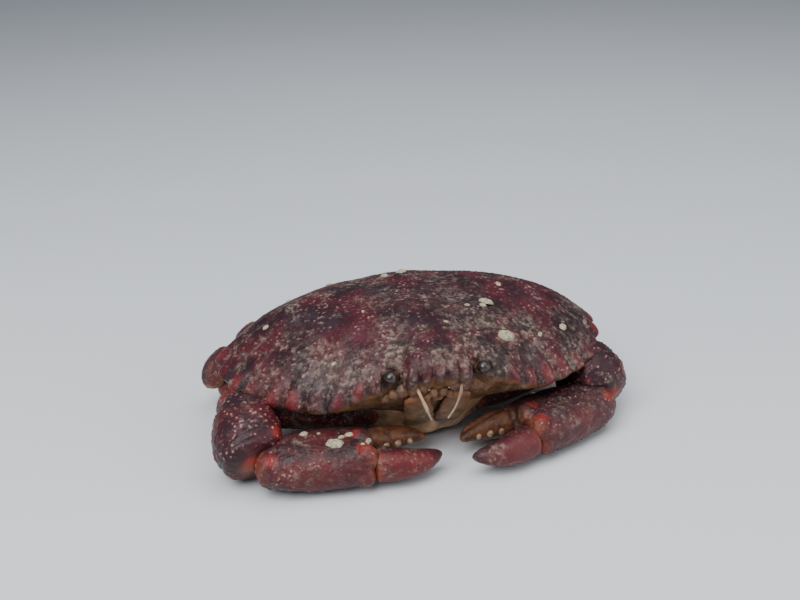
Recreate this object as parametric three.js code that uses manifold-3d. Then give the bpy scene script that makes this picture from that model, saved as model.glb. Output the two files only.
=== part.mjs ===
// A red rock crab at life size, still, in a resting pose: claws folded in front of the mouth,
// walking legs tucked so that the knees just show beside the shell. Millimetres, +Z up, +X to the
// crab's left, the face towards -Y. The floor is z = 0.

import * as THREE from 'three';
import { mergeVertices } from 'three/addons/utils/BufferGeometryUtils.js';
import Module from 'manifold-3d';

const wasm = await Module();
wasm.setup();

// Driving dimensions
const SHELL_WIDTH = 160;
const HALF_WIDTH = SHELL_WIDTH / 2;
const SHELL_LENGTH = 0.63 * SHELL_WIDTH;
const GAP = 0.3;
const JOINT_GAP = 0.8;
const WRIST_GAP = 1.4;
const CORNER_HEIGHT = 31;
const DOME_RISE = 23.5;
const DOME_FLATNESS = 2.6;
const EDGE_THICKNESS = 1.6;
const PARTING_HEIGHT = 19;
const BELLY_HEIGHT = 2.6;
const TAU = Math.PI * 2;
const v3 = (x, y, z) => new THREE.Vector3(x, y, z);

const lerp = (a, b, t) => a + (b - a) * t;
const clamp01 = (t) => Math.min(1, Math.max(0, t));
const smooth = (t) => t * t * (3 - 2 * t);

// Interpolates a list of [position, value] keys with level tangents at each key.
function keyed(keys, at) {
  for (let i = 1; i < keys.length; i++) {
    if (at <= keys[i][0]) {
      const share = clamp01((at - keys[i - 1][0]) / (keys[i][0] - keys[i - 1][0]));
      return lerp(keys[i - 1][1], keys[i][1], smooth(share));
    }
  }
  return keys[keys.length - 1][1];
}

// Closed solids

function signedVolume(points, faces) {
  let sum = 0;
  for (const [a, b, c] of faces) {
    sum += points[a].dot(points[b].clone().cross(points[c]));
  }
  return sum / 6;
}

function geometryFrom(points, faces) {
  if (signedVolume(points, faces) < 0) faces.forEach((f) => f.reverse());
  const geometry = new THREE.BufferGeometry();
  const flat = points.flatMap((p) => [p.x, p.y, p.z]);
  geometry.setAttribute('position', new THREE.Float32BufferAttribute(flat, 3));
  geometry.setIndex(faces.flat());
  return geometry;
}

// A closed skin over rings with the same number of points, ended by a fan at each end.
function ringSolid(rings) {
  const n = rings[0].length;
  const points = rings.flat();
  const faces = [];
  for (let r = 0; r + 1 < rings.length; r++) {
    for (let i = 0; i < n; i++) {
      const a = r * n + i;
      const b = r * n + ((i + 1) % n);
      faces.push([a, b, b + n], [a, b + n, a + n]);
    }
  }
  const middle = (ring) => ring.reduce((s, p) => s.add(p), v3(0, 0, 0)).divideScalar(n);
  const first = points.push(middle(rings[0])) - 1;
  const last = points.push(middle(rings[rings.length - 1])) - 1;
  const top = (rings.length - 1) * n;
  for (let i = 0; i < n; i++) {
    const j = (i + 1) % n;
    faces.push([first, j, i], [last, top + i, top + j]);
  }
  return geometryFrom(points, faces);
}

function toManifold(geometry) {
  const bare = geometry.clone();
  bare.deleteAttribute('normal');
  bare.deleteAttribute('uv');
  const merged = mergeVertices(bare, 1e-5);
  return new wasm.Manifold(new wasm.Mesh({
    numProp: 3,
    vertProperties: new Float32Array(merged.attributes.position.array),
    triVerts: new Uint32Array(merged.index.array),
  }));
}

// Keeps the largest closed surface of a joined or cut solid.
function toGeometry(solid) {
  const pieces = solid.decompose();
  pieces.sort((a, b) => b.volume() - a.volume());
  const mesh = pieces[0].getMesh();
  const geometry = new THREE.BufferGeometry();
  geometry.setAttribute('position', new THREE.Float32BufferAttribute(mesh.vertProperties, 3));
  geometry.setIndex([...mesh.triVerts]);
  return geometry;
}

const union = (parts) => parts.map(toManifold).reduce((a, b) => a.add(b));
const cut = (solid, tools) => tools.map(toManifold).reduce((a, b) => a.subtract(b), solid);

// A solid cut to clear its neighbours and to stand flat on the floor
const fitted = (geometry, neighbours) =>
  toGeometry(cut(toManifold(geometry), [...neighbours, blockBelow(0)]));

function blockBelow(height) {
  const size = 400;
  const block = new THREE.BoxGeometry(size, size, size);
  block.translate(0, 0, height - size / 2);
  return block;
}

// One ring of a limb: a rounded oval of the given half-width and half-height.
function ovalRing(centre, side, up, halfSide, halfUp, sides, squareness) {
  const ring = [];
  for (let i = 0; i < sides; i++) {
    const c = Math.cos((TAU * i) / sides);
    const s = Math.sin((TAU * i) / sides);
    const x = Math.sign(c) * Math.abs(c) ** (2 / squareness) * halfSide;
    const y = Math.sign(s) * Math.abs(s) ** (2 / squareness) * halfUp;
    ring.push(centre.clone().addScaledVector(side, x).addScaledVector(up, y));
  }
  return ring;
}

// A limb segment along a curve. Each section is [share of length, thickness along side, depth
// across it]. grow fattens and lengthens it, to cut its own socket.
const LIMB_SQUARENESS = 2.3;

function limb(curve, side, sections, sides, grow = 0) {
  const length = curve.getLength();
  const from = (GAP / 2 - grow) / length;
  const rings = sections.map(([share, thick, deep]) => {
    const place = lerp(from, 1 - from, share);
    const at = clamp01(place);
    const tangent = curve.getTangentAt(at);
    const centre = curve.getPointAt(at).addScaledVector(tangent, (place - at) * length);
    const across = side.clone().addScaledVector(tangent, -side.dot(tangent)).normalize();
    const up = across.clone().cross(tangent);
    return ovalRing(centre, across, up, thick / 2 + grow, deep / 2 + grow, sides, LIMB_SQUARENESS);
  });
  return ringSolid(rings);
}

// Shell outline seen from above, as a radius round a point a little behind the middle

const OUTLINE_CENTRE_Y = 2;
const FRONT_REACH = SHELL_LENGTH / 2 + OUTLINE_CENTRE_Y;
const BACK_REACH = SHELL_LENGTH / 2 - OUTLINE_CENTRE_Y;
const BACK_CORNER_REACH = BACK_REACH + 8;
const FRONT_ROUNDNESS = 2.15;
const BACK_ROUNDNESS = 1.42;

function plainRadius(angle) {
  const c = Math.abs(Math.cos(angle)) / HALF_WIDTH;
  const s = Math.abs(Math.sin(angle));
  if (Math.sin(angle) < 0) {
    return (c ** FRONT_ROUNDNESS + (s / FRONT_REACH) ** FRONT_ROUNDNESS) ** (-1 / FRONT_ROUNDNESS);
  }
  const curve = (c ** BACK_ROUNDNESS + (s / BACK_CORNER_REACH) ** BACK_ROUNDNESS) ** (-1 / BACK_ROUNDNESS);
  const straight = BACK_REACH / Math.max(s, 1e-3);
  const sharpness = 12;
  return (curve ** -sharpness + straight ** -sharpness) ** (-1 / sharpness);
}

// Nine blunt teeth on each side margin, five small ones between the eyes, and a notch for each eye
const SIDE_TEETH = 9;
const FRONT_TEETH = 5;
const TOOTH_START = THREE.MathUtils.degToRad(-62);
const TOOTH_END = THREE.MathUtils.degToRad(3);
const FRONT_HALF = 12.5;
const ORBIT_INNER = 13.5;
const ORBIT_OUTER = 22;
const ORBIT_DEPTH = 4.6;

function marginRelief(angle) {
  const folded = Math.cos(angle) < 0 ? Math.PI - angle : angle;
  const side = Math.atan2(Math.sin(folded), Math.cos(folded));
  const x = Math.abs(plainRadius(angle) * Math.cos(angle));
  if (side < TOOTH_START) {
    if (x < FRONT_HALF) {
      const phase = ((x / FRONT_HALF) * FRONT_TEETH) / 2;
      return 1.2 + 1.9 * Math.abs(Math.cos(Math.PI * phase)) ** 0.8;
    }
    const share = (x - ORBIT_INNER) / (ORBIT_OUTER - ORBIT_INNER);
    return share > 0 && share < 1 ? -ORBIT_DEPTH * Math.sin(Math.PI * share) ** 0.7 : 0;
  }
  if (side > TOOTH_END) return 0;
  const place = ((side - TOOTH_START) / (TOOTH_END - TOOTH_START)) * SIDE_TEETH;
  const phase = place - Math.floor(place);
  const height = lerp(1.9, 3.3, place / SIDE_TEETH);
  const hooked = phase ** lerp(1, 1.35, place / SIDE_TEETH);
  return height * (Math.sin(Math.PI * hooked) ** 0.5 - 0.55);
}

// Height of the shell's edge above its side corners, by angle from the side towards the back
const EDGE_HEIGHT = [[-90, 11], [-68, 6], [-44, -3], [-16, -3], [0, 0], [22, 0.5], [60, -3], [90, -6]];
// How square the dome's shoulder is: low numbers stand up steeply from the edge
const SHOULDER = [[-90, 0.5], [-50, 0.6], [-10, 0.76], [20, 0.76], [60, 0.66], [90, 0.6]];
// Share of the outline where the underside meets the chest
const PARTING_SHARE = [[-90, 0.8], [-60, 0.7], [-25, 0.6], [20, 0.62], [60, 0.74], [90, 0.86]];

function foldedDegrees(angle) {
  return THREE.MathUtils.radToDeg(Math.asin(Math.sin(angle)));
}

// Low swellings over the stomach, heart, liver and gills: [x, y, radius, height]
const SWELLINGS = [
  [0, -24, 17, 1.2], [0, 20, 12, 1.0], [42, 13, 20, 1.8], [30, -22, 13, 1.0], [60, 2, 17, 2.2],
];
const GROOVES = [[15, -8, 7, -1.3], [14, 14, 6, -1.0], [42, -26, 7, -0.9], [20, 34, 8, -0.9]];

function relief(x, y) {
  return [...SWELLINGS, ...GROOVES].reduce((sum, [cx, cy, radius, height]) => {
    const dx = (Math.abs(x) - cx) / radius;
    const dy = (y - cy) / radius;
    return sum + height * Math.exp(-dx * dx - dy * dy);
  }, 0);
}

function shellPoint(angle, share, onTop) {
  const plain = plainRadius(angle);
  const toothed = plain + marginRelief(angle);
  const fade = clamp01((share - 0.9) / 0.1);
  const radius = share * lerp(plain, toothed, fade ** 1.5);
  const x = radius * Math.cos(angle);
  const y = radius * Math.sin(angle) + OUTLINE_CENTRE_Y;
  const degrees = foldedDegrees(angle);
  const edge = CORNER_HEIGHT + keyed(EDGE_HEIGHT, degrees);
  if (onTop) {
    const dome = DOME_RISE * Math.max(0, 1 - share ** DOME_FLATNESS) ** keyed(SHOULDER, degrees);
    const base = lerp(CORNER_HEIGHT, edge, share ** 4);
    return v3(x, y, base + dome + relief(x, y) * (1 - share ** 6));
  }
  const parting = keyed(PARTING_SHARE, degrees);
  const inward = clamp01((1 - share) / (1 - parting));
  return v3(x, y, lerp(edge - EDGE_THICKNESS, PARTING_HEIGHT, inward ** 0.8));
}

// Angles round the margin, close together where there are teeth
function marginAngles() {
  const perTooth = 5;
  const half = [];
  const frontSteps = 20;
  for (let i = 0; i < frontSteps; i++) half.push(lerp(-Math.PI / 2, TOOTH_START, i / frontSteps));
  for (let i = 0; i < SIDE_TEETH * perTooth; i++) {
    half.push(lerp(TOOTH_START, TOOTH_END, i / (SIDE_TEETH * perTooth)));
  }
  const backSteps = 11;
  for (let i = 0; i <= backSteps; i++) half.push(lerp(TOOTH_END, Math.PI / 2, i / backSteps));
  const mirrored = half.slice(1, -1).reverse().map((a) => Math.PI - a);
  return [...half, ...mirrored];
}

const TOP_SHARES = [0.14, 0.38, 0.6, 0.78, 0.9, 0.965, 1];
const UNDER_SHARES = [1, 0.9, 0.78];

function shellRings() {
  const angles = marginAngles();
  const rings = TOP_SHARES.map((share) => angles.map((a) => shellPoint(a, share, true)));
  const under = UNDER_SHARES.map((share) => angles.map((a) => {
    const parting = keyed(PARTING_SHARE, foldedDegrees(a));
    return shellPoint(a, lerp(parting, 1, (share - 0.66) / 0.34), false);
  }));
  const parting = angles.map((a) => {
    const p = shellPoint(a, keyed(PARTING_SHARE, foldedDegrees(a)), false);
    p.z = PARTING_HEIGHT;
    return p;
  });
  return [...rings, ...under, parting];
}

// Chest: from the parting line down to the breastplate between the legs
const CHEST_LEVELS = [[0, 0], [0.3, 0.24], [0.62, 0.62], [0.86, 0.88], [1, 1]];
const BREASTPLATE = { halfWidth: 27, front: -30, back: 36 };

function chestRings() {
  const sides = 40;
  const top = PARTING_HEIGHT - GAP;
  return CHEST_LEVELS.map(([down, inward], level) => {
    const ring = [];
    for (let i = 0; i < sides; i++) {
      const angle = (TAU * i) / sides - Math.PI / 2;
      const upper = shellPoint(angle, keyed(PARTING_SHARE, foldedDegrees(angle)), false);
      const s = Math.sin(angle);
      const reach = s < 0 ? -BREASTPLATE.front : BREASTPLATE.back;
      const lower = v3(BREASTPLATE.halfWidth * Math.cos(angle), reach * s, 0);
      const round = level === CHEST_LEVELS.length - 1 ? 0.86 : 1;
      const x = lerp(upper.x, lower.x, inward) * round;
      const y = lerp(upper.y, lower.y, inward) * round;
      ring.push(v3(x, y, lerp(top, BELLY_HEIGHT, down)));
    }
    return ring;
  });
}

// Abdomen: a flap that folds from the shell's back edge forwards under the chest
function abdomen(grow = 0) {
  const path = new THREE.CatmullRomCurve3([
    v3(0, 46, 20), v3(0, 43, 9), v3(0, 36, 2.4), v3(0, 22, 1), v3(0, -3, 1), v3(0, -13, 1.8),
  ]);
  const plates = 6;
  const sections = [];
  for (let i = 0; i <= plates; i++) {
    const at = i / plates;
    const width = lerp(34, 17, at) * (at === 1 ? 0.45 : 1);
    if (i > 0 && i < plates) sections.push([at - 0.018, width, 2.9], [at, width * 0.97, 2.2]);
    else sections.push([at, width, 2.6]);
  }
  return limb(path, v3(1, 0, 0), sections, 14, grow);
}

// Mouth plate (third maxilliped): a flat leaf that covers one side of the mouth
const MOUTH_PLATE = { width: 11.5, thick: 3.2, spread: 3.2 };

function mouthPlate(side, grow = 0) {
  const { width, thick, spread } = MOUTH_PLATE;
  const x = side * (width / 2 + GAP / 2);
  const path = new THREE.QuadraticBezierCurve3(
    v3(x + side * spread, -49.4, 33.2), v3(x - side * 0.6, -45.4, 20), v3(x, -31, 10));
  const sections = [
    [0, width * 0.62, thick * 0.6], [0.08, width * 0.86, thick], [0.36, width, thick],
    [0.41, width * 0.94, thick * 0.72], [0.46, width, thick * 1.05], [0.8, width * 0.96, thick],
    [1, width * 0.74, thick * 0.6],
  ];
  return limb(path, v3(1, 0, 0), sections, 12, grow);
}

// Eye on its short stalk, in the notch beside the front teeth
function eyestalk(side, grow = 0) {
  const path = new THREE.LineCurve3(v3(side * 12.4, -41.5, 37.2), v3(side * 16.6, -46.6, 40.2));
  const across = v3(side * 0.77, 0.64, 0).cross(v3(0, 0, 1)).normalize();
  return limb(path, across, [[0, 4.0, 3.6], [0.5, 3.4, 3.2], [1, 4.2, 4.0]], 12, grow);
}

const EYE_RADIUS = 2.7;

function eyeball(side, grow = 0) {
  const eye = new THREE.SphereGeometry(EYE_RADIUS + grow, 14, 10);
  eye.scale(1, 1, 0.9);
  eye.translate(side * 18, -48.3, 41.2);
  return eye;
}

// Feelers: the long pair hangs over the mouth, the short pair folds under the front
function antenna(side, grow = 0) {
  const path = new THREE.CatmullRomCurve3([
    v3(side * 9.4, -42.5, 36), v3(side * 8.8, -48.5, 36.6), v3(side * 7.9, -53.2, 35),
    v3(side * 5.6, -54, 29), v3(side * 3.2, -51.4, 22.5),
  ]);
  const sections = [[0, 3.4, 3.0], [0.2, 3.2, 2.8], [0.26, 1.5, 1.5], [0.6, 1.1, 1.1], [1, 0.5, 0.5]];
  return limb(path, v3(1, 0, 0), sections, 8, grow);
}

function antennule(side, grow = 0) {
  const path = new THREE.CatmullRomCurve3([
    v3(side * 3.2, -44, 34.4), v3(side * 3.6, -47.4, 35.6), v3(side * 4.2, -50.4, 35),
  ]);
  return limb(path, v3(1, 0, 0), [[0, 2.6, 2.6], [0.5, 2.2, 2.0], [1, 0.9, 0.9]], 8, grow);
}

// Walking legs, tucked in. Each rises in its own upright plane to the knee beside the shell's edge,
// then folds down and back inwards, a little behind itself. turn is the plane's angle from the side
// towards the back; distances run out from the root; heights are above the floor.
const LEGS = [
  {
    name: 'leg1', root: [23, -13], turn: { right: 10, left: 28 },
    reach: 1.08, size: 1, knee: 18, sweep: 8, tip: 7,
  },
  {
    name: 'leg2', root: [24, -2], turn: { right: 19, left: 42 },
    reach: 1.2, size: 1, knee: 26, sweep: 8, tip: 7,
  },
  {
    name: 'leg3', root: [22, 9], turn: { right: 36, left: 58 },
    reach: 1.1, size: 0.93, knee: 26, sweep: 7, tip: 7,
  },
  {
    name: 'leg4', root: [17, 17], turn: { right: 62, left: 76 },
    reach: 0.96, size: 0.8, knee: 22, sweep: 2, tip: 14,
  },
];
const LEG_ROOT_HEIGHT = 13;
const KNEE_REACH = 44;
const KNUCKLE_REACH = 52;
const KNEE_BEND = 0.42;
const ANKLE_REACH = 25;
const ANKLE_HEIGHT = 4.8;
const TIP_HEIGHT = 0.6;

const MERUS_SECTIONS = [
  [0, 7, 9], [0.12, 8, 10.5], [0.35, 8.6, 12.6], [0.75, 8.8, 12.4], [0.95, 8, 10.5], [1, 5.4, 7],
];
const CARPUS_SECTIONS = [[0, 5.6, 7.4], [0.12, 8.4, 11], [0.5, 9, 12], [0.85, 8.2, 10.6], [1, 5.6, 7.4]];
const PROPODUS_SECTIONS = [[0, 5, 6.4], [0.12, 7.4, 9.6], [0.5, 7.2, 9.2], [0.93, 6, 7.6], [1, 4.4, 5.6]];
const DACTYL_SECTIONS = [[0, 4.4, 5.2], [0.12, 5.2, 6.4], [0.5, 4.2, 5], [0.85, 2.4, 2.8], [1, 1.3, 1.5]];
const SEGMENTS = ['merus', 'carpus', 'propodus', 'dactyl'];

function legCurves(leg, side) {
  const turn = THREE.MathUtils.degToRad(side < 0 ? leg.turn.right : leg.turn.left);
  const out = v3(side * Math.cos(turn), Math.sin(turn), 0);
  const back = v3(-side * Math.sin(turn), Math.cos(turn), 0);
  const root = v3(side * leg.root[0], leg.root[1], 0);
  const place = (reach, height, swept) => root.clone()
    .addScaledVector(out, reach * leg.reach).addScaledVector(back, leg.sweep * swept).setZ(height);
  const rootPoint = place(0, LEG_ROOT_HEIGHT, 0);
  const knee = place(KNEE_REACH, leg.knee, 0);
  const knuckle = place(KNUCKLE_REACH, leg.knee * 0.36, 0.35);
  const ankle = place(ANKLE_REACH, ANKLE_HEIGHT, 0.9);
  const tip = place(leg.tip, TIP_HEIGHT, 1.1);
  const outwards = KNEE_BEND * knee.distanceTo(knuckle);
  return {
    across: back,
    merus: new THREE.LineCurve3(rootPoint, knee),
    carpus: new THREE.QuadraticBezierCurve3(
      knee, knee.clone().lerp(knuckle, 0.45).addScaledVector(out, outwards), knuckle),
    propodus: new THREE.LineCurve3(knuckle, ankle),
    dactyl: new THREE.QuadraticBezierCurve3(
      ankle, place(lerp(ANKLE_REACH, leg.tip, 0.5), ANKLE_HEIGHT - 0.4, 1), tip),
  };
}

const scaled = (sections, size) => sections.map(([at, thick, deep]) => [at, thick * size, deep * size]);

const LEG_SECTIONS = {
  merus: MERUS_SECTIONS, carpus: CARPUS_SECTIONS, propodus: PROPODUS_SECTIONS, dactyl: DACTYL_SECTIONS,
};

function legSegment(leg, side, segment, grow = 0) {
  const curves = legCurves(leg, side);
  return limb(curves[segment], curves.across, scaled(LEG_SECTIONS[segment], leg.size), 10, grow);
}

// Claw legs. The claws lie on the floor in front of the mouth, tips towards the middle, on their
// broad outer faces: the moving finger is in front and the fixed one behind it, nearest the mouth.
const CLAWS = {
  right: { root: [-19, -26, 15], elbow: [-69, -22, 22], wrist: [-71, -50, 11], aim: [-9, -48, 9] },
  left: { root: [19, -25, 15], elbow: [63, -9, 22], wrist: [76, -31, 10], aim: [10, -54, 9] },
};
const CLAW_TILT = -3;
const PALM_LENGTH = 44;
const FINGER_LENGTH = 27;
const CARPUS_BEND = 5;

const CLAW_MERUS_SECTIONS = [[0, 10, 11], [0.2, 13, 15], [0.6, 15, 18], [0.92, 15, 18], [1, 13, 15]];
const CLAW_CARPUS_SECTIONS = [
  [0, 15, 15], [0.12, 21, 21], [0.4, 27, 26], [0.7, 28, 26], [0.9, 22, 21], [1, 15, 15],
];
const PALM_SECTIONS = [
  [0, 11, 14], [0.07, 14, 18], [0.25, 17, 24], [0.5, 18.6, 28], [0.75, 18, 29.5], [0.93, 15.5, 28],
  [1, 13, 24],
];

const FIXED_FINGER_SECTIONS = [
  [0, 12, 12], [0.3, 12.5, 12.5], [0.55, 10.5, 10.5], [0.75, 8.2, 8.4], [0.9, 5.2, 5.4], [0.97, 3.2, 3.4],
  [1, 1.6, 1.6],
];
const MOVING_FINGER_SECTIONS = [
  [0, 11, 12], [0.08, 12.5, 13.6], [0.3, 12, 12.6], [0.55, 10, 10.4], [0.77, 7.6, 7.8], [0.91, 4.8, 5],
  [0.97, 3, 3.1], [1, 1.5, 1.5],
];

// The claw's own directions: along to the fingertips, dorsal to the moving finger, face across both
function clawFrame(claw) {
  const wrist = v3(...claw.wrist);
  const along = v3(...claw.aim).sub(wrist).normalize();
  const tilt = THREE.MathUtils.degToRad(CLAW_TILT);
  const forwards = v3(0, -Math.cos(tilt), Math.sin(tilt));
  const dorsal = forwards.addScaledVector(along, -forwards.dot(along)).normalize();
  const face = along.clone().cross(dorsal).normalize();
  const place = (a, d) => wrist.clone().addScaledVector(along, a).addScaledVector(dorsal, d);
  return { wrist, along, face, place };
}

function palmAndFixedFinger(claw) {
  const frame = clawFrame(claw);
  const palmLine = new THREE.LineCurve3(frame.place(0, 0), frame.place(PALM_LENGTH, 0));
  const palm = limb(palmLine, frame.face, PALM_SECTIONS, 20);
  const fingerLine = new THREE.CatmullRomCurve3([
    frame.place(PALM_LENGTH - 12, -6), frame.place(PALM_LENGTH, -7.6), frame.place(PALM_LENGTH + 10, -8.8),
    frame.place(PALM_LENGTH + 19, -8.6), frame.place(PALM_LENGTH + FINGER_LENGTH - 3, -6.4),
  ]);
  const finger = limb(fingerLine, frame.face, FIXED_FINGER_SECTIONS, 14);
  const solid = union([palm, finger, ...biteTeeth(frame)]);
  return fitted(toGeometry(solid), [movingFinger(claw, GAP), clawCarpus(claw, WRIST_GAP)]);
}

function movingFinger(claw, grow = 0) {
  const frame = clawFrame(claw);
  const curve = new THREE.CatmullRomCurve3([
    frame.place(PALM_LENGTH, 7), frame.place(PALM_LENGTH + 8, 8.6), frame.place(PALM_LENGTH + 17, 8.6),
    frame.place(PALM_LENGTH + FINGER_LENGTH, 5.2),
  ]);
  return limb(curve, frame.face, MOVING_FINGER_SECTIONS, 14, grow);
}

// Blunt white teeth along the fixed finger's biting edge: [distance past the palm, radius]
const BITE_TEETH = [[7, 2.7], [12, 2.3], [17, 1.9]];

function biteTeeth(frame) {
  return BITE_TEETH.map(([along, radius]) => {
    const knob = new THREE.IcosahedronGeometry(radius, 1);
    const centre = frame.place(PALM_LENGTH + along, -3.4 - along * 0.09);
    knob.translate(centre.x, centre.y, centre.z);
    return knob;
  });
}

function clawCurves(claw) {
  const frame = clawFrame(claw);
  const root = v3(...claw.root);
  const elbow = v3(...claw.elbow);
  const outwards = elbow.clone().sub(root).normalize().sub(frame.along).normalize();
  const bend = elbow.clone().lerp(frame.wrist, 0.5).addScaledVector(outwards, CARPUS_BEND);
  return {
    merus: new THREE.LineCurve3(root, elbow),
    carpus: new THREE.QuadraticBezierCurve3(elbow, bend, frame.wrist),
    carpusSide: frame.wrist.clone().sub(elbow).cross(outwards).normalize(),
  };
}

function clawMerus(claw, grow = 0) {
  return limb(clawCurves(claw).merus, v3(0, 1, 0), CLAW_MERUS_SECTIONS, 14, grow);
}

function clawCarpus(claw, grow = 0) {
  const { carpus, carpusSide } = clawCurves(claw);
  return limb(carpus, carpusSide, CLAW_CARPUS_SECTIONS, 18, grow);
}

// Materials, by the shell's own colours
const finish = (color, roughness) => new THREE.MeshStandardMaterial({ color, roughness, metalness: 0 });
const shellRed = finish(0x5a1f2b, 0.42);
const clawRed = finish(0x7a2430, 0.4);
const legRed = finish(0x8c3a2c, 0.45);
const underTan = finish(0xb98d5e, 0.55);
const mouthTan = finish(0xa87343, 0.5);
const feelerPale = finish(0xb9a98c, 0.5);
const eyeDark = finish(0x15110f, 0.12);

const crab = new THREE.Group();

function addNode(name, geometry, material) {
  const mesh = new THREE.Mesh(geometry, material);
  mesh.name = name;
  crab.add(mesh);
}

const SIDES = [['right', -1], ['left', 1]];
const mouthTools = SIDES.flatMap(([, side]) => [
  mouthPlate(side, GAP), eyestalk(side, GAP), eyeball(side, GAP), antenna(side, GAP), antennule(side, GAP),
]);
const legTools = SIDES.flatMap(([name, side]) => [
  ...LEGS.flatMap((leg) => [legSegment(leg, side, 'merus', GAP), legSegment(leg, side, 'carpus', GAP)]),
  clawMerus(CLAWS[name], GAP), clawCarpus(CLAWS[name], GAP),
]);
const flap = abdomen(GAP);

const bodyTools = [...mouthTools, ...legTools, flap];
addNode('carapace', toGeometry(cut(toManifold(ringSolid(shellRings())), bodyTools)), shellRed);
addNode('chest', toGeometry(cut(toManifold(ringSolid(chestRings())), bodyTools)), underTan);
addNode('abdomen', fitted(abdomen(), []), underTan);

for (const [name, side] of SIDES) {
  addNode(`${name}_mouth_plate`, mouthPlate(side), mouthTan);
  addNode(`${name}_eyestalk`, eyestalk(side), mouthTan);
  addNode(`${name}_eye`, toGeometry(cut(toManifold(eyeball(side)), [eyestalk(side, GAP)])), eyeDark);
  addNode(`${name}_antenna`, antenna(side), feelerPale);
  addNode(`${name}_antennule`, antennule(side), feelerPale);

  const claw = CLAWS[name];
  addNode(`${name}_claw_merus`, fitted(clawMerus(claw), []), clawRed);
  addNode(`${name}_claw_carpus`, fitted(clawCarpus(claw), [clawMerus(claw, JOINT_GAP)]), clawRed);
  addNode(`${name}_claw_palm`, palmAndFixedFinger(claw), clawRed);
  addNode(`${name}_claw_finger`, fitted(movingFinger(claw), []), clawRed);

  for (const leg of LEGS) {
    SEGMENTS.forEach((segment, i) => {
      const inner = i > 0 ? [legSegment(leg, side, SEGMENTS[i - 1], JOINT_GAP)] : [];
      addNode(`${name}_${leg.name}_${segment}`, fitted(legSegment(leg, side, segment), inner), legRed);
    });
  }
}

export default crab;
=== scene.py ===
# %% [markdown]
# # A red rock crab, life size
#
# A rock crab is a set of hard shells: one broad back, jointed legs and claws, and plates round the
# mouth. Each shell is grown in one piece, so each is one mesh here. It could be sculpted by hand,
# but then nothing would hold it to its measures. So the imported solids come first, because they say
# where every shell sits, and the detailed shells are made over them from the same numbers.

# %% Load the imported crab
import math
import bpy
import numpy as np
from mathutils import Matrix, Vector


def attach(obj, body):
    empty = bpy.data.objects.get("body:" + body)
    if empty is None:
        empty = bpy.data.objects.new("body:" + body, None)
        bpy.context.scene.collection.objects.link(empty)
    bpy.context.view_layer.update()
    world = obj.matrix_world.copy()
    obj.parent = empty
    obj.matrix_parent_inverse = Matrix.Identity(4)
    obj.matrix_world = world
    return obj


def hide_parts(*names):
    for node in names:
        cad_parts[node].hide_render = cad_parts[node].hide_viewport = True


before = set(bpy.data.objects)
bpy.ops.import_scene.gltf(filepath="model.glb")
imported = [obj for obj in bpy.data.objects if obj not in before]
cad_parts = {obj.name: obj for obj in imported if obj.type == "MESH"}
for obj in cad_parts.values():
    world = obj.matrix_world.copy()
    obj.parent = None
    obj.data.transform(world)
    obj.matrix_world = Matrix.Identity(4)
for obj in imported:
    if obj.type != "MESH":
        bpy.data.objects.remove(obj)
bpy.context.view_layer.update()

# %% [markdown]
# ## Measures and small helpers
#
# The shell is 160 mm across and its length follows from that. Lengths are in millimetres until a
# mesh is made, because a crab is measured in them. A keyed value changes smoothly from one named
# place to the next, which is how a shell's edge rises and falls as it goes round the body. A curve
# object could do the same, but a few pairs of numbers are easier to read and to change.

# %% Measures
HALF_WIDTH = 80.0
SHELL_LENGTH = 0.63 * 2 * HALF_WIDTH
CORNER_HEIGHT = 31.0
DOME_RISE = 23.5
DOME_FLATNESS = 2.6
EDGE_THICKNESS = 1.6
PARTING_HEIGHT = 19.0
BELLY_HEIGHT = 2.6
TAU = 2 * math.pi


def keyed(keys, at):
    """A value that eases between [place, value] keys."""
    places = np.array([k[0] for k in keys], float)
    values = np.array([k[1] for k in keys], float)
    at = np.clip(np.asarray(at, float), places[0], places[-1])
    i = np.clip(np.searchsorted(places, at, side="left"), 1, len(places) - 1)
    share = (at - places[i - 1]) / (places[i] - places[i - 1])
    share = share * share * (3 - 2 * share)
    return values[i - 1] + (values[i] - values[i - 1]) * share


def ease(low, high, value):
    """0 at low and 1 at high, with a smooth slope between. Low may be the larger number."""
    t = np.clip((value - low) / (high - low), 0, 1)
    return t * t * (3 - 2 * t)


print("shell length in mm:", SHELL_LENGTH)

# %% [markdown]
# ## Grains and swells
#
# A crab's shell is covered in small round grains, and under them the surface swells gently. A bump
# in the material would show them, but not on the outline, so the points themselves are moved here.
# Both come from numbers tied to places in space, so that they never slide or change from run to
# run. Grains are round bumps about random centres, one to a cell. Swells are a smooth noise.

# %% Grains and swells
def dice(cells, seed):
    """Random numbers from 0 to 1 for whole-numbered cells, always the same for the same cell."""
    h = cells[..., 0] * 73856093 ^ cells[..., 1] * 19349663 ^ cells[..., 2] * 83492791
    h = (h ^ (seed * 2654435761)) & 0x7FFFFFFF
    for _ in range(3):
        h = (h * 1103515245 + 12345) & 0x7FFFFFFF
        h = h ^ (h >> 13)
    return (h % 100003) / 100003.0


def swells(points, size, seed=1):
    """Smooth noise from -1 to 1 with swells about size across."""
    p = points / size
    cell = np.floor(p).astype(np.int64)
    t = p - cell
    t = t * t * (3 - 2 * t)
    total = np.zeros(len(points))
    for dx in (0, 1):
        for dy in (0, 1):
            for dz in (0, 1):
                weight = (t[:, 0] if dx else 1 - t[:, 0]) * (t[:, 1] if dy else 1 - t[:, 1])
                weight = weight * (t[:, 2] if dz else 1 - t[:, 2])
                total += weight * dice(cell + np.array([dx, dy, dz]), seed)
    return 2 * total - 1


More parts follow.
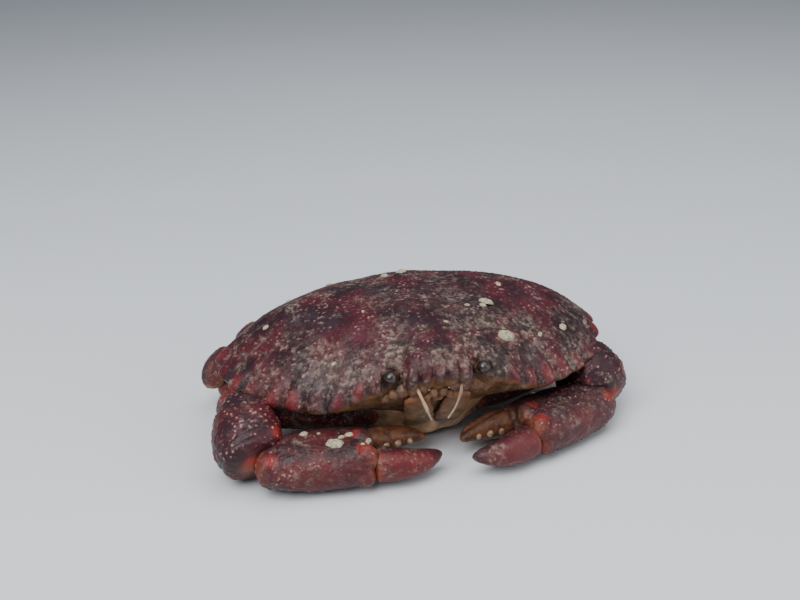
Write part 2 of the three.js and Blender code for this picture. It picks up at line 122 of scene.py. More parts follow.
def grains(points, size, seed=1, fill=0.5):
    """Round bumps from 0 to 1, one about a random centre in each cell of this size."""
    p = points / size
    cell = np.floor(p).astype(np.int64)
    bump = np.zeros(len(points))
    for dx in (-1, 0, 1):
        for dy in (-1, 0, 1):
            for dz in (-1, 0, 1):
                near = cell + np.array([dx, dy, dz])
                centre = near + np.stack([dice(near, seed + k) for k in (0, 7, 19)], -1)
                away = np.linalg.norm(p - centre, axis=1) / fill
                bump = np.maximum(bump, np.clip(1 - away * away, 0, 1))
    return bump


print("a swell and a grain:", swells(np.ones((1, 3)), 3.0), grains(np.ones((1, 3)), 1.0))

# %% [markdown]
# ## From rings of points to a shell
#
# Every shell here is skinned over rings of points, as a basket is woven over hoops. Rings are
# chosen because a shell's cross-section is what can be measured on it. The helpers close both
# ends, find which way each point faces, and let it be moved in or out along that direction.
# Numbers that a finish needs later, such as how high a grain stands, are stored on the points
# under plain names. Where two shells are one in life, as a palm and its fixed finger are, they are
# filled with small cubes and skinned again, which closes the seam between them.

# %% Skins over rings
def skin_over(rings):
    """Points and faces of a closed skin over rings that have the same number of points."""
    count, around = rings.shape[:2]
    points = np.concatenate([rings.reshape(-1, 3), rings[:1].mean(1), rings[-1:].mean(1)])
    r, i = np.meshgrid(np.arange(count - 1), np.arange(around), indexing="ij")
    j = (i + 1) % around
    quads = np.stack([r * around + i, r * around + j, (r + 1) * around + j, (r + 1) * around + i], -1)
    quads = quads.reshape(-1, 4)
    i = np.arange(around)
    j = (i + 1) % around
    first, last, top = count * around, count * around + 1, (count - 1) * around
    caps = np.concatenate([
        np.stack([np.full(around, first), j, i], -1),
        np.stack([np.full(around, last), top + i, top + j], -1),
    ])
    a, b, c = points[caps[:, 0]], points[caps[:, 1]], points[caps[:, 2]]
    volume = np.einsum("ij,ij->", a, np.cross(b, c))
    a, b, c, d = (points[quads[:, k]] for k in range(4))
    volume += np.einsum("ij,ij->", a, np.cross(b, c)) + np.einsum("ij,ij->", a, np.cross(c, d))
    if volume < 0:
        quads, caps = quads[:, ::-1], caps[:, ::-1]
    return points, quads.tolist() + caps.tolist()


def raw_mesh(name, points, faces):
    mesh = bpy.data.meshes.new(name)
    mesh.from_pydata((points / 1000).tolist(), [], faces)
    mesh.update()
    return mesh


def places_and_facings(mesh):
    """Every point of a mesh in millimetres, and the way it faces."""
    count = len(mesh.vertices)
    points = np.empty(count * 3)
    facing = np.empty(count * 3)
    mesh.vertices.foreach_get("co", points)
    mesh.vertex_normals.foreach_get("vector", facing)
    return points.reshape(-1, 3) * 1000, facing.reshape(-1, 3)


def move_points(mesh, points):
    mesh.vertices.foreach_set("co", (points / 1000).ravel())
    mesh.update()


print("skin helpers ready")

# %% Marks, pieces and welds
def store(mesh, **marks):
    """Keeps one number per point under a name, for the finishes to read."""
    for name, values in marks.items():
        layer = mesh.attributes.new(name, "FLOAT", "POINT")
        layer.data.foreach_set("value", np.asarray(values, np.float32))


def place_piece(mesh, nodes, finish):
    """Puts a finished mesh into the scene in place of its solids."""
    piece = bpy.data.objects.new(mesh.name.replace(" ", "_"), mesh)
    bpy.context.scene.collection.objects.link(piece)
    mesh.materials.append(finish)
    mesh.shade_smooth()
    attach(piece, "root")
    if nodes:
        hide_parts(*nodes)
    return piece


def joined(name, parts):
    """Several closed skins in one mesh."""
    points = np.concatenate([p for p, _ in parts])
    faces = []
    start = 0
    for p, f in parts:
        faces += [[v + start for v in face] for face in f]
        start += len(p)
    return raw_mesh(name, points, faces)


def welded(name, parts, voxel, rounds):
    """One closed skin round several overlapping ones, smoothed where they meet."""
    rough = bpy.data.objects.new("rough " + name, joined("rough " + name, parts))
    bpy.context.scene.collection.objects.link(rough)
    remesh = rough.modifiers.new("one skin", "REMESH")
    remesh.mode = "VOXEL"
    remesh.voxel_size = voxel / 1000
    smooth = rough.modifiers.new("soften", "SMOOTH")
    smooth.factor = 0.5
    smooth.iterations = rounds
    graph = bpy.context.evaluated_depsgraph_get()
    mesh = bpy.data.meshes.new_from_object(rough.evaluated_get(graph))
    bpy.data.objects.remove(rough)
    mesh.name = name
    return mesh


print("piece helpers ready")

# %% [markdown]
# ## The finishes: wet, worn shell
#
# A live rock crab is not one red. Dark wine shell shows between paler grains, the edges and
# joints go crimson and orange, silt settles in the low places as pale and muddy patches, and the
# shell has a soft wet shine. Each finish could be mixed on its own, but the crab's shells are all
# of one kind, so one recipe makes them from a few colours: a slow noise chooses between two reds,
# the stored marks add joint, belly and grain colours, and more noises lay the silt. The paler
# colour on the tops of the grains is partly their own tone and partly a painted highlight.
# The silted places are also rougher, so that only the clean shell shines.

# %% A helper for finishes
class Finish:
    """A material whose nodes are added in the order they act."""

    def __init__(self, name):
        self.material = bpy.data.materials.new(name)
        self.material.use_nodes = True
        self.tree = self.material.node_tree
        self.shader = self.tree.nodes["Principled BSDF"]
        self.place = self.tree.nodes.new("ShaderNodeTexCoord").outputs["Object"]

    def node(self, kind, **settings):
        made = self.tree.nodes.new(kind)
        for key, value in settings.items():
            setattr(made, key, value)
        return made

    def join(self, output, socket):
        self.tree.links.new(output, socket)

    def noise(self, size, detail=4.0, rough=0.55):
        """Noise with patches about size millimetres across."""
        made = self.node("ShaderNodeTexNoise")
        self.join(self.place, made.inputs["Vector"])
        made.inputs["Scale"].default_value = 1000 / size
        made.inputs["Detail"].default_value = detail
        made.inputs["Roughness"].default_value = rough
        return made.outputs["Fac"]

    def pebbles(self, size):
        made = self.node("ShaderNodeTexVoronoi", feature="F1")
        self.join(self.place, made.inputs["Vector"])
        made.inputs["Scale"].default_value = 1000 / size
        return made.outputs["Distance"]

    def mark(self, name):
        return self.node("ShaderNodeAttribute", attribute_name=name).outputs["Fac"]

    def span(self, value, low, high, to_low=0.0, to_high=1.0):
        made = self.node("ShaderNodeMapRange", interpolation_type="SMOOTHSTEP")
        self.join(value, made.inputs["Value"])
        ends = {"From Min": low, "From Max": high, "To Min": to_low, "To Max": to_high}
        for socket, number in ends.items():
            made.inputs[socket].default_value = number
        return made.outputs["Result"]

    def combine(self, operation, a, b):
        made = self.node("ShaderNodeMath", operation=operation, use_clamp=True)
        for socket, value in zip(made.inputs, (a, b)):
            if isinstance(value, float):
                socket.default_value = value
            else:
                self.join(value, socket)
        return made.outputs[0]

    def blend(self, amount, under, over):
        """Lays one colour over another by an amount."""
        made = self.node("ShaderNodeMix", data_type="RGBA")
        self.join(amount, made.inputs["Factor"])
        for socket, colour in ((made.inputs[6], under), (made.inputs[7], over)):
            if isinstance(colour, tuple):
                socket.default_value = (*colour, 1.0)
            else:
                self.join(colour, socket)
        return made.outputs[2]

    def relief(self, height, strength, distance, before=None):
        made = self.node("ShaderNodeBump")
        made.inputs["Strength"].default_value = strength
        made.inputs["Distance"].default_value = distance / 1000
        self.join(height, made.inputs["Height"])
        if before is not None:
            self.join(before, made.inputs["Normal"])
        return made.outputs["Normal"]


print("finish helper ready")

# %% The shell recipe
CLOUD = (0.034, 0.020, 0.027)
MUD = (0.042, 0.035, 0.024)
SAND = (0.24, 0.185, 0.145)


def shell_finish(name, dark, red, bright, joint, belly, silt=0.5, pale=(0.52, 0.30, 0.25), grain_tone_and_highlight=0.7):
    """The recipe: two shell colours, a bright edge, joint and belly colours, silt, and paler grain tops
    that are partly painted highlight.
    """
    f = Finish(name)
    colour = f.blend(f.span(f.noise(14), 0.42, 0.62), dark, red)
    colour = f.blend(f.span(f.noise(24, 5, 0.6), 0.5, 0.66, 0, 0.6), colour, CLOUD)
    colour = f.blend(f.span(f.noise(3.2), 0.52, 0.7, 0, 0.75), colour, dark)
    colour = f.blend(f.span(f.mark("edge"), 0.1, 1.0, 0, 0.9), colour, bright)
    worn_joint = f.combine("MULTIPLY", f.mark("joint"), f.span(f.noise(5), 0.3, 0.55, 0.35, 1))
    colour = f.blend(worn_joint, colour, joint)
    under = f.blend(f.span(f.noise(4, 5, 0.65), 0.4, 0.62), belly, tuple(0.4 * c for c in belly))
    colour = f.blend(f.mark("belly"), colour, under)
    patch = f.span(f.noise(11, 6, 0.7), 0.5, 0.64)
    low = f.combine("MULTIPLY", patch, f.span(f.noise(1.7, 5, 0.7), 0.4, 0.6))
    furrows = f.combine("MULTIPLY", f.mark("groove"), f.span(f.noise(1.9, 6, 0.75), 0.40, 0.58))
    low = f.combine("MAXIMUM", low, furrows)
    silted = f.combine("MULTIPLY", low, float(silt))
    mud = f.blend(f.span(f.noise(3), 0.4, 0.6), MUD, SAND)
    colour = f.blend(silted, colour, mud)
    # Grain tops take the pale colour: partly the grains' own paler tone, partly a painted highlight.
    pale_grain_and_highlight = f.combine("MULTIPLY", f.span(f.mark("grain"), 0.45, 0.95),
                    f.span(f.noise(7, 5, 0.65), 0.42, 0.62))
    colour = f.blend(f.combine("MULTIPLY", pale_grain_and_highlight, float(grain_tone_and_highlight)), colour, pale)
    f.join(colour, f.shader.inputs["Base Color"])
    f.join(f.span(silted, 0.0, 0.7, 0.42, 0.8), f.shader.inputs["Roughness"])
    fine = f.relief(f.noise(0.9, 6, 0.7), 0.5, 0.25)
    fine = f.relief(f.pebbles(0.8), 0.5, -0.2, fine)
    f.join(fine, f.shader.inputs["Normal"])
    f.shader.inputs["Specular IOR Level"].default_value = 0.22
    f.shader.inputs["Coat Weight"].default_value = 0.06
    f.shader.inputs["Coat Roughness"].default_value = 0.2
    return f.material


print("silt colours:", MUD, SAND)

# %% The crab's finishes
WINE = (0.018, 0.0055, 0.009)
RED = (0.060, 0.008, 0.014)
CRIMSON = (0.13, 0.010, 0.016)
ORANGE = (0.34, 0.085, 0.028)
CREAM = (0.62, 0.46, 0.30)
TAN = (0.16, 0.075, 0.032)

shell_paint = shell_finish("wet wine shell", WINE, RED, CRIMSON, ORANGE, TAN, silt=0.85,
                           pale=(0.33, 0.20, 0.18))
claw_paint = shell_finish("claw shell", (0.026, 0.008, 0.012), (0.066, 0.010, 0.013),
                          (0.19, 0.016, 0.015), (0.22, 0.042, 0.018), (0.13, 0.048, 0.022), silt=0.6,
                          pale=(0.40, 0.20, 0.18), grain_tone_and_highlight=0.8)
leg_paint = shell_finish("leg shell", (0.050, 0.012, 0.014), (0.13, 0.022, 0.020),
                         (0.10, 0.040, 0.022), (0.22, 0.055, 0.022), (0.36, 0.165, 0.08), silt=0.5,
                         grain_tone_and_highlight=0.5)
under_paint = shell_finish("pale under shell", (0.36, 0.19, 0.10), (0.52, 0.33, 0.19), ORANGE,
                           ORANGE, (0.60, 0.42, 0.26), silt=0.35, grain_tone_and_highlight=0.25)
mouth_paint = shell_finish("mouth plate shell", (0.085, 0.034, 0.016), (0.19, 0.085, 0.036),
                           (0.36, 0.19, 0.10), (0.24, 0.085, 0.03), (0.17, 0.095, 0.048), silt=0.6,
                           grain_tone_and_highlight=0.3)
# The eye stalk's joints and underside are dark wine, not orange and tan as on the other shells: painted
# shade of the eyes in their sockets.
stalk_paint_with_painted_shade = shell_finish("eye stalk shell", (0.024, 0.010, 0.009), (0.055, 0.018, 0.014), CRIMSON,
                           (0.045, 0.016, 0.012), (0.045, 0.022, 0.016), silt=0.3, grain_tone_and_highlight=0.2)
feeler_paint = shell_finish("feeler shell", (0.36, 0.24, 0.14), (0.52, 0.40, 0.26), CREAM, CREAM, CREAM,
                            silt=0.25, grain_tone_and_highlight=0.2)
print("finishes:", [m.name for m in bpy.data.materials])

# %% [markdown]
# ## The shape of the back
#
# Seen from above, the shell is a wide fan: rounded in front, drawn in behind. The outline could be
# traced, but a squashed oval with its own roundness in front and behind gives it from three
# lengths, and stays even on both sides. Nine blunt teeth sit along each side margin, five small
# ones between the eyes, and there is a notch for each eye. These are the same rules as the
# solid's, so the fine shell lies over it.

# %% Measures and outline of the back
OUTLINE_CENTRE_Y = 2.0
FRONT_REACH = SHELL_LENGTH / 2 + OUTLINE_CENTRE_Y
BACK_REACH = SHELL_LENGTH / 2 - OUTLINE_CENTRE_Y
BACK_CORNER_REACH = BACK_REACH + 8
FRONT_ROUNDNESS = 2.15
BACK_ROUNDNESS = 1.42
SIDE_TEETH = 9
FRONT_TEETH = 5
TOOTH_START = math.radians(-62)
TOOTH_END = math.radians(3)
FRONT_HALF = 12.5
ORBIT_INNER = 13.5
ORBIT_OUTER = 22.0
ORBIT_DEPTH = 4.6
EDGE_HEIGHT = [[-90, 11], [-68, 6], [-44, -3], [-16, -3], [0, 0], [22, 0.5], [60, -3], [90, -6]]
SHOULDER = [[-90, 0.5], [-50, 0.6], [-10, 0.76], [20, 0.76], [60, 0.66], [90, 0.6]]
PARTING_SHARE = [[-90, 0.8], [-60, 0.7], [-25, 0.6], [20, 0.62], [60, 0.74], [90, 0.86]]
SWELLINGS = [[0, -24, 17, 1.2], [0, 20, 12, 1.0], [42, 13, 20, 1.8], [30, -22, 13, 1.0],
             [60, 2, 17, 2.2]]
GROOVES = [[15, -8, 7, -1.3], [14, 14, 6, -1.0], [42, -26, 7, -0.9], [20, 34, 8, -0.9]]


def plain_radius(angle):
    c = np.abs(np.cos(angle)) / HALF_WIDTH
    s = np.abs(np.sin(angle))
    front = (c ** FRONT_ROUNDNESS + (s / FRONT_REACH) ** FRONT_ROUNDNESS) ** (-1 / FRONT_ROUNDNESS)
    curve = (c ** BACK_ROUNDNESS + (s / BACK_CORNER_REACH) ** BACK_ROUNDNESS) ** (-1 / BACK_ROUNDNESS)
    straight = BACK_REACH / np.maximum(s, 1e-3)
    back = (curve ** -12.0 + straight ** -12.0) ** (-1 / 12)
    return np.where(np.sin(angle) < 0, front, back)


print("half width and length in mm:", HALF_WIDTH, SHELL_LENGTH)

# %% Teeth, eye notches and dome
def margin_relief(angle):
    """How far the teeth stand out of the plain outline, and the eye notches go in."""
    side = np.arctan2(np.sin(angle), np.abs(np.cos(angle)))
    x = np.abs(plain_radius(angle) * np.cos(angle))
    small = 1.2 + 1.9 * np.abs(np.cos(math.pi * (x / FRONT_HALF) * FRONT_TEETH / 2)) ** 0.8
    share = np.clip((x - ORBIT_INNER) / (ORBIT_OUTER - ORBIT_INNER), 0, 1)
    notch = -ORBIT_DEPTH * np.sin(math.pi * share) ** 0.7
    front = np.where(x < FRONT_HALF, small, notch)
    place = np.clip((side - TOOTH_START) / (TOOTH_END - TOOTH_START), 0, 1) * SIDE_TEETH
    phase = place - np.floor(place)
    height = 1.9 + 1.4 * place / SIDE_TEETH
    hooked = phase ** (1 + 0.35 * place / SIDE_TEETH)
    teeth = height * (np.sin(math.pi * np.clip(hooked, 0, 1)) ** 0.5 - 0.55)
    return np.where(side < TOOTH_START, front, np.where(side > TOOTH_END, 0, teeth))


def low_relief(x, y):
    total = np.zeros_like(x)
    for cx, cy, radius, height in SWELLINGS + GROOVES:
        total += height * np.exp(-((np.abs(x) - cx) / radius) ** 2 - ((y - cy) / radius) ** 2)
    return total


def shell_point(angle, share, on_top):
    plain = plain_radius(angle)
    toothed = plain + margin_relief(angle)
    fade = np.clip((share - 0.9) / 0.1, 0, 1) ** 1.5
    radius = share * (plain + (toothed - plain) * fade)
    x = radius * np.cos(angle)
    y = radius * np.sin(angle) + OUTLINE_CENTRE_Y
    degrees = np.degrees(np.arcsin(np.clip(np.sin(angle), -1, 1)))
    edge = CORNER_HEIGHT + keyed(EDGE_HEIGHT, degrees)
    if on_top:
        dome = DOME_RISE * np.maximum(0, 1 - share ** DOME_FLATNESS) ** keyed(SHOULDER, degrees)
        base = CORNER_HEIGHT + (edge - CORNER_HEIGHT) * share ** 4
        z = base + dome + low_relief(x, y) * (1 - share ** 6)
    else:
        parting = keyed(PARTING_SHARE, degrees)
        inward = np.clip((1 - share) / (1 - parting), 0, 1)
        z = edge - EDGE_THICKNESS + (PARTING_HEIGHT - edge + EDGE_THICKNESS) * inward ** 0.8
    return np.stack([x, y, z], -1)


print("front, side and back reach in mm:",
      [round(float(plain_radius(np.array(a))), 1) for a in (-math.pi / 2, 0.0, math.pi / 2)])

# %% [markdown]
# ## The back shell
#
# The back is the largest shell and carries most of the look. A grid pushed into shape would
# stretch at the margin, so the skin runs in rings from the middle of the back out to the margin,
# folds round it, and goes in again below as the smooth under-fold. Points crowd towards the
# margin, where the teeth are. Then the grains are raised along the way each point faces: coarse
# ones, highest on the crests of the swells, fine ones between, and none on the under-fold.

# %% Build the back shell
AROUND = 700
DOWN = 112


def even_angles(count):
    """Angles that cut the margin into equal lengths."""
    fine = np.linspace(-math.pi / 2, 1.5 * math.pi, 6000)
    radius = plain_radius(fine)
    xy = np.stack([radius * np.cos(fine), radius * np.sin(fine)], -1)
    run = np.concatenate([[0], np.cumsum(np.linalg.norm(np.diff(xy, axis=0), axis=1))])
    return np.interp(np.linspace(0, run[-1], count + 1)[:-1], run, fine)


COARSE_GRAIN = 1.9
FINE_GRAIN = 1.15
COARSE_HEIGHT = 0.34
FINE_HEIGHT = 0.14


def build_back():
    angles = even_angles(AROUND)
    top = 1 - (1 - np.linspace(0.02, 1, DOWN)) ** 1.25
    under = np.linspace(0.97, 0.0, DOWN // 5)
    parting = keyed(PARTING_SHARE, np.degrees(np.arcsin(np.clip(np.sin(angles), -1, 1))))
    rings = [shell_point(angles, np.full_like(angles, s), True) for s in top]
    rings += [shell_point(angles, parting + (1 - parting) * s, False) for s in under]
    last = rings[-1].copy()
    last[:, :2] *= 0.98
    rings = np.stack(rings + [last])
    mesh = raw_mesh("back shell", *skin_over(rings))
    count = rings.shape[0]
    share = np.concatenate([np.repeat(np.concatenate([top, 1 + under * 0, [1]]), AROUND), [0, 1]])
    on_top = np.concatenate([np.repeat(np.arange(count) < DOWN, AROUND), [True, False]])
    turn = np.concatenate([np.tile(angles, count), [0, 0]])
    points, facing = places_and_facings(mesh)
    above = on_top * ease(0.0, 0.25, facing[:, 2] + 0.35)
    crest = ease(-0.4, 0.7, swells(points, 16, 3))
    coarse = grains(points, COARSE_GRAIN, 11, 0.52)
    fine = grains(points, FINE_GRAIN, 23, 0.5)
    lobes = np.maximum(margin_relief(turn), -2.2)
    near_edge = ease(0.86, 0.99, share)
    lift = above * (COARSE_HEIGHT * coarse * (0.35 + 0.65 * crest) + FINE_HEIGHT * fine)
    lift += above * (0.25 * swells(points, 6, 5) + 0.4 * swells(points, 15, 9))
    lift += above * near_edge * 0.25 * lobes
    move_points(mesh, points + facing * lift[:, None])
    x, y = points[:, 0], points[:, 1]
    furrow = np.exp(-((lobes + 1.6) / 1.1) ** 2) * ease(0.62, 0.95, share) * on_top
    valley = ease(-0.1, -1.2, low_relief(x, y) - 0.6)
    between_eyes = ease(16, 11, np.abs(x)) * (np.sin(turn) < 0)
    teeth = ease(0.92, 0.99, share) * ease(0.1, 1.1, lobes)
    teeth = teeth * (np.sin(turn) < 0.1) * (1 - 0.75 * between_eyes)
    teeth = teeth * (0.45 + 0.55 * ease(-0.5, 0.4, swells(points, 7, 61)))
    front_silt = 0.6 * ease(0, -40, y) * ease(-0.3, 0.5, swells(points, 13, 31)) * above
    under_lip = (1 - on_top) * ease(0.8, 0.98, np.hypot(x, y) / np.maximum(plain_radius(turn), 1))
    under_lip = under_lip * ease(14, 30, x)
    store(mesh, grain=np.maximum(coarse, 0.8 * fine) * above, edge=np.clip(teeth, 0, 1),
          groove=np.clip(furrow + front_silt + 0.5 * valley * above, 0, 1), joint=0.8 * under_lip,
          belly=1.0 - on_top)
    return place_piece(mesh, ["carapace"], shell_paint)


back = build_back()
print("back shell:", len(back.data.vertices), "points,", len(back.data.polygons), "faces")

# %% [markdown]
# ## The chest and the folded tail
#
# Under the back lies the chest, which carries the legs. It is seen only from low down, so a plain
# closed form is enough, but it has to meet the under-fold all round. For that it is skinned from
# the under-fold's own inner line down to the breastplate, with a shallow groove between the leg
# roots.

# %% Build the chest
BREAST_HALF_WIDTH = 27.0
BREAST_FRONT = 30.0
BREAST_BACK = 36.0
CHEST_LEVELS = [[0, 0], [0.3, 0.24], [0.62, 0.62], [0.86, 0.88], [1, 1]]


def build_chest():
    around = 240
    angles = np.linspace(0, TAU, around, endpoint=False) - math.pi / 2
    parting = keyed(PARTING_SHARE, np.degrees(np.arcsin(np.clip(np.sin(angles), -1, 1))))
    upper = shell_point(angles, parting, False)
    reach = np.where(np.sin(angles) < 0, BREAST_FRONT, BREAST_BACK)
    lower = np.stack([BREAST_HALF_WIDTH * np.cos(angles), reach * np.sin(angles)], -1)
    rings = []
    for step in np.linspace(0, 1, 34):
        inward = np.interp(step, [k[0] for k in CHEST_LEVELS], [k[1] for k in CHEST_LEVELS])
        xy = upper[:, :2] + (lower - upper[:, :2]) * inward
        xy = xy * (1 - 0.14 * ease(0.86, 1, step))
        z = np.full(around, PARTING_HEIGHT - 0.3 + (BELLY_HEIGHT - PARTING_HEIGHT + 0.3) * step)
        rings.append(np.column_stack([xy, z]))
    for share in np.linspace(0.9, 0.1, 12):
        rings.append(rings[33] * np.array([share, share, 1]))
    mesh = raw_mesh("chest shell", *skin_over(np.stack(rings)))
    points, facing = places_and_facings(mesh)
    side = np.degrees(np.arctan2(points[:, 1], np.abs(points[:, 0])))
    between = np.cos(np.radians((side + 38) * 360 / 27))
    wall = ease(0.9, 0.3, np.abs(facing[:, 2]))
    from_middle = np.hypot(points[:, 0], points[:, 1])
    lift = 0.9 * between * ease(8, 14, from_middle) - 0.6 + 0.2 * swells(points, 5, 4)
    lift = np.where(points[:, 2] < BELLY_HEIGHT + 0.5, np.minimum(lift, 0), lift) * (0.4 + 0.6 * wall)
    move_points(mesh, points + facing * lift[:, None])
    nothing = np.zeros(len(points))
    store(mesh, grain=0.3 * grains(points, 1.6, 5), edge=nothing, groove=ease(0.2, -0.8, between),
          joint=nothing, belly=nothing)
    return place_piece(mesh, ["chest"], under_paint)


chest = build_chest()
print("chest:", len(chest.data.vertices), "points")

# %% [markdown]
# ## Limb segments
#
# A leg is a row of hard tubes joined by soft skin. A bevelled curve would give a round tube of one
# thickness, but a crab's segments are flattened and swell and narrow along their length. So one
# helper makes any of them from a middle line and a few measured cross-sections along it, each with
# a thickness and a depth. Between them the size eases, the ends are rounded like a knuckle, and
# the marks say how near a joint each point is.

# %% The limb helper
def unit(v):
    return v / np.linalg.norm(v)


def along_line(*points):
    """A straight or bent line through points, cut into 120 equal steps."""
    knots = np.array(points, float)
    if len(knots) == 2:
        return np.linspace(knots[0], knots[1], 121)
    ends = np.vstack([2 * knots[0] - knots[1], knots, 2 * knots[-1] - knots[-2]])
    path = []
    for p0, p1, p2, p3 in zip(ends[:-3], ends[1:-2], ends[2:-1], ends[3:]):
        t0 = 0.0
        t1 = t0 + np.linalg.norm(p1 - p0) ** 0.5
        t2 = t1 + np.linalg.norm(p2 - p1) ** 0.5
        t3 = t2 + np.linalg.norm(p3 - p2) ** 0.5
        t = np.linspace(t1, t2, 60)[:, None]
        a1 = (t1 - t) / (t1 - t0) * p0 + (t - t0) / (t1 - t0) * p1
        a2 = (t2 - t) / (t2 - t1) * p1 + (t - t1) / (t2 - t1) * p2
        a3 = (t3 - t) / (t3 - t2) * p2 + (t - t2) / (t3 - t2) * p3
        b1 = (t2 - t) / (t2 - t0) * a1 + (t - t0) / (t2 - t0) * a2
        b2 = (t3 - t) / (t3 - t1) * a2 + (t - t1) / (t3 - t1) * a3
        path.append((t2 - t) / (t2 - t1) * b1 + (t - t1) / (t2 - t1) * b2)
    return evenly(np.concatenate(path))


def bowed(start, pull, end):
    """A single bend from start to end, pulled towards a third point."""
    t = np.linspace(0, 1, 200)[:, None]
    return evenly((1 - t) ** 2 * start + 2 * t * (1 - t) * pull + t ** 2 * end)


def evenly(path):
    run = np.concatenate([[0], np.cumsum(np.linalg.norm(np.diff(path, axis=0), axis=1))])
    at = np.linspace(0, run[-1], 121)
    return np.stack([np.interp(at, run, path[:, k]) for k in range(3)], -1)


def limb_rings(path, side, sections, around=48, steps=90, squareness=2.3, round_ends=(0.05, 0.05)):
    """Rings of a limb along a path. Sections are (share, thickness along side, depth across it)."""
    table = np.array(sections, float)
    share = np.linspace(0, 1, steps)
    kernel = np.ones(7) / 7
    sizes = []
    for k in (1, 2):
        plain = np.interp(share, table[:, 0], table[:, k])
        padded = np.concatenate([2 * plain[0] - plain[3:0:-1], plain, 2 * plain[-1] - plain[-2:-5:-1]])
        sizes.append(np.convolve(padded, kernel, "valid"))
    thick, deep = sizes
    length = np.linalg.norm(np.diff(path, axis=0), axis=1).sum()
    start, stop = 0.15 / length, 1 - 0.15 / length
    at = (start + (stop - start) * share) * (len(path) - 1)
    whole = np.clip(at.astype(int), 0, len(path) - 2)
    centre = path[whole] + (at - whole)[:, None] * (path[whole + 1] - path[whole])
    tangent = np.gradient(centre, axis=0)
    tangent /= np.linalg.norm(tangent, axis=1)[:, None]
    across = np.asarray(side, float) - tangent * (tangent @ np.asarray(side, float))[:, None]
    across /= np.linalg.norm(across, axis=1)[:, None]
    up = np.cross(across, tangent)
    first, last = round_ends
    taper = np.sqrt(np.clip(1 - np.clip((first - share) / first, 0, 0.97) ** 2, 0, 1)) if first else 1
    if last:
        taper = taper * np.sqrt(np.clip(1 - np.clip((share - 1 + last) / last, 0, 0.97) ** 2, 0, 1))
    angle = np.linspace(0, TAU, around, endpoint=False)
    power = 2 / squareness
    c = np.sign(np.cos(angle)) * np.abs(np.cos(angle)) ** power
    s = np.sign(np.sin(angle)) * np.abs(np.sin(angle)) ** power
    rings = centre[:, None] + across[:, None] * (c * (thick * taper / 2)[:, None])[..., None]
    rings = rings + up[:, None] * (s * (deep * taper / 2)[:, None])[..., None]
    marks = np.concatenate([np.repeat(share, around), [0, 1]])
    turn = np.concatenate([np.tile(angle, steps), [0, 0]])
    return rings, marks, turn


print("rings along a limb ready")

# %% Dressing a limb
RIDGES = 6


def joint_mark(share, width=0.06):
    return np.clip(np.exp(-(share / width) ** 2) + np.exp(-((1 - share) / width) ** 2), 0, 1)


def stand_on_floor(points):
    """Nothing goes below the floor: what would is pressed flat."""
    points[:, 2] = np.maximum(points[:, 2], 0.0)
    return points


def knuckles(points, places):
    """How far each point is raised by round knuckles, and how near the top of one it is."""
    height = np.zeros(len(points))
    crown = np.zeros(len(points))
    for x, y, z, radius, rise in places:
        near = np.exp(-((points - np.array([x, y, z])) ** 2).sum(1) / radius ** 2)
        height += rise * near
        crown = np.maximum(crown, near if rise > 0 else 0)
    return height, crown


def dress_limb(name, node, rings, share, finish, seed, grain_size=1.3, lift=0.2, ridges=0.0,
               turn=None, tip=None, lumps=(), joint_width=0.06, under=1.0):
    """Grains, swells, ridges, knuckles and marks for one limb segment."""
    mesh = raw_mesh(name, *skin_over(rings))
    points, facing = places_and_facings(mesh)
    height, crown = knuckles(points, lumps)
    coarse = grains(points, grain_size, seed, 0.52)
    away = 1 - joint_mark(share, 0.05)
    raised = lift * coarse * away + 0.22 * swells(points, 5, seed + 1) + height
    groove = np.zeros(len(points))
    if ridges:
        ridge = np.cos(turn * RIDGES)
        raised += ridges * ridge * away
        groove = ease(-0.2, -0.9, ridge) * away
    move_points(mesh, stand_on_floor(points + facing * raised[:, None]))
    edge = ease(0.3, 0.9, crown) if tip is None else tip
    store(mesh, grain=coarse * away, edge=edge, groove=0.6 * groove,
          joint=joint_mark(share, joint_width), belly=under * ease(-0.1, -0.75, facing[:, 2]))
    return place_piece(mesh, [node], finish)


def dress_lumps(mesh, finish, seed, silted):
    """Small swells and marks for lumps that have no length of their own."""
    points, facing = places_and_facings(mesh)
    fine = grains(points, 1.1, seed, 0.52)
    raised = 0.12 * fine + 0.15 * swells(points, 2.5, seed + 1)
    move_points(mesh, points + facing * raised[:, None])
    nothing = np.zeros(len(points))
    store(mesh, grain=fine, edge=nothing, groove=nothing + silted, joint=nothing, belly=nothing)
    return place_piece(mesh, [], finish)


print("limb helper ready")

# %% [markdown]
# ## The folded tail
#
# The tail is a jointed flap, folded forwards under the body. Its plates could be made one by one,
# but they are grown together and lie flat, so it is one limb, wide and thin, whose sections step
# down where one plate overlaps the next.

# %% Build the folded tail
def build_tail():
    path = along_line((0, 46, 20), (0, 43, 9), (0, 36, 2.4), (0, 22, 1), (0, -3, 1), (0, -13, 1.8))
    sections = []
    plates = 6
    for i in range(plates + 1):
        at = i / plates
        width = (34 - 17 * at) * (0.45 if i == plates else 1)
        if 0 < i < plates:
            sections += [(at - 0.018, width, 2.9), (at, width * 0.97, 2.2)]
        else:
            sections.append((at, width, 2.6))
    rings, share, _ = limb_rings(path, (1, 0, 0), sections, around=96, steps=150)
    return dress_limb("folded tail", "abdomen", rings, share, under_paint, 41, lift=0.05)


tail = build_tail()
print("tail:", len(tail.data.vertices), "points")

# %% [markdown]
# ## The walking legs
#
# Four pairs, tucked in as a resting crab holds them: out and up to the knee beside the shell's
# edge, down, and back under. An armature could bend them, but a leg that never moves is easier to
# place joint by joint. So each leg says how far out and how high its knee, knuckle, ankle and tip
# are, and one loop builds them all. Long low ridges run down each segment, and the last one tapers
# to a worn horny tip.

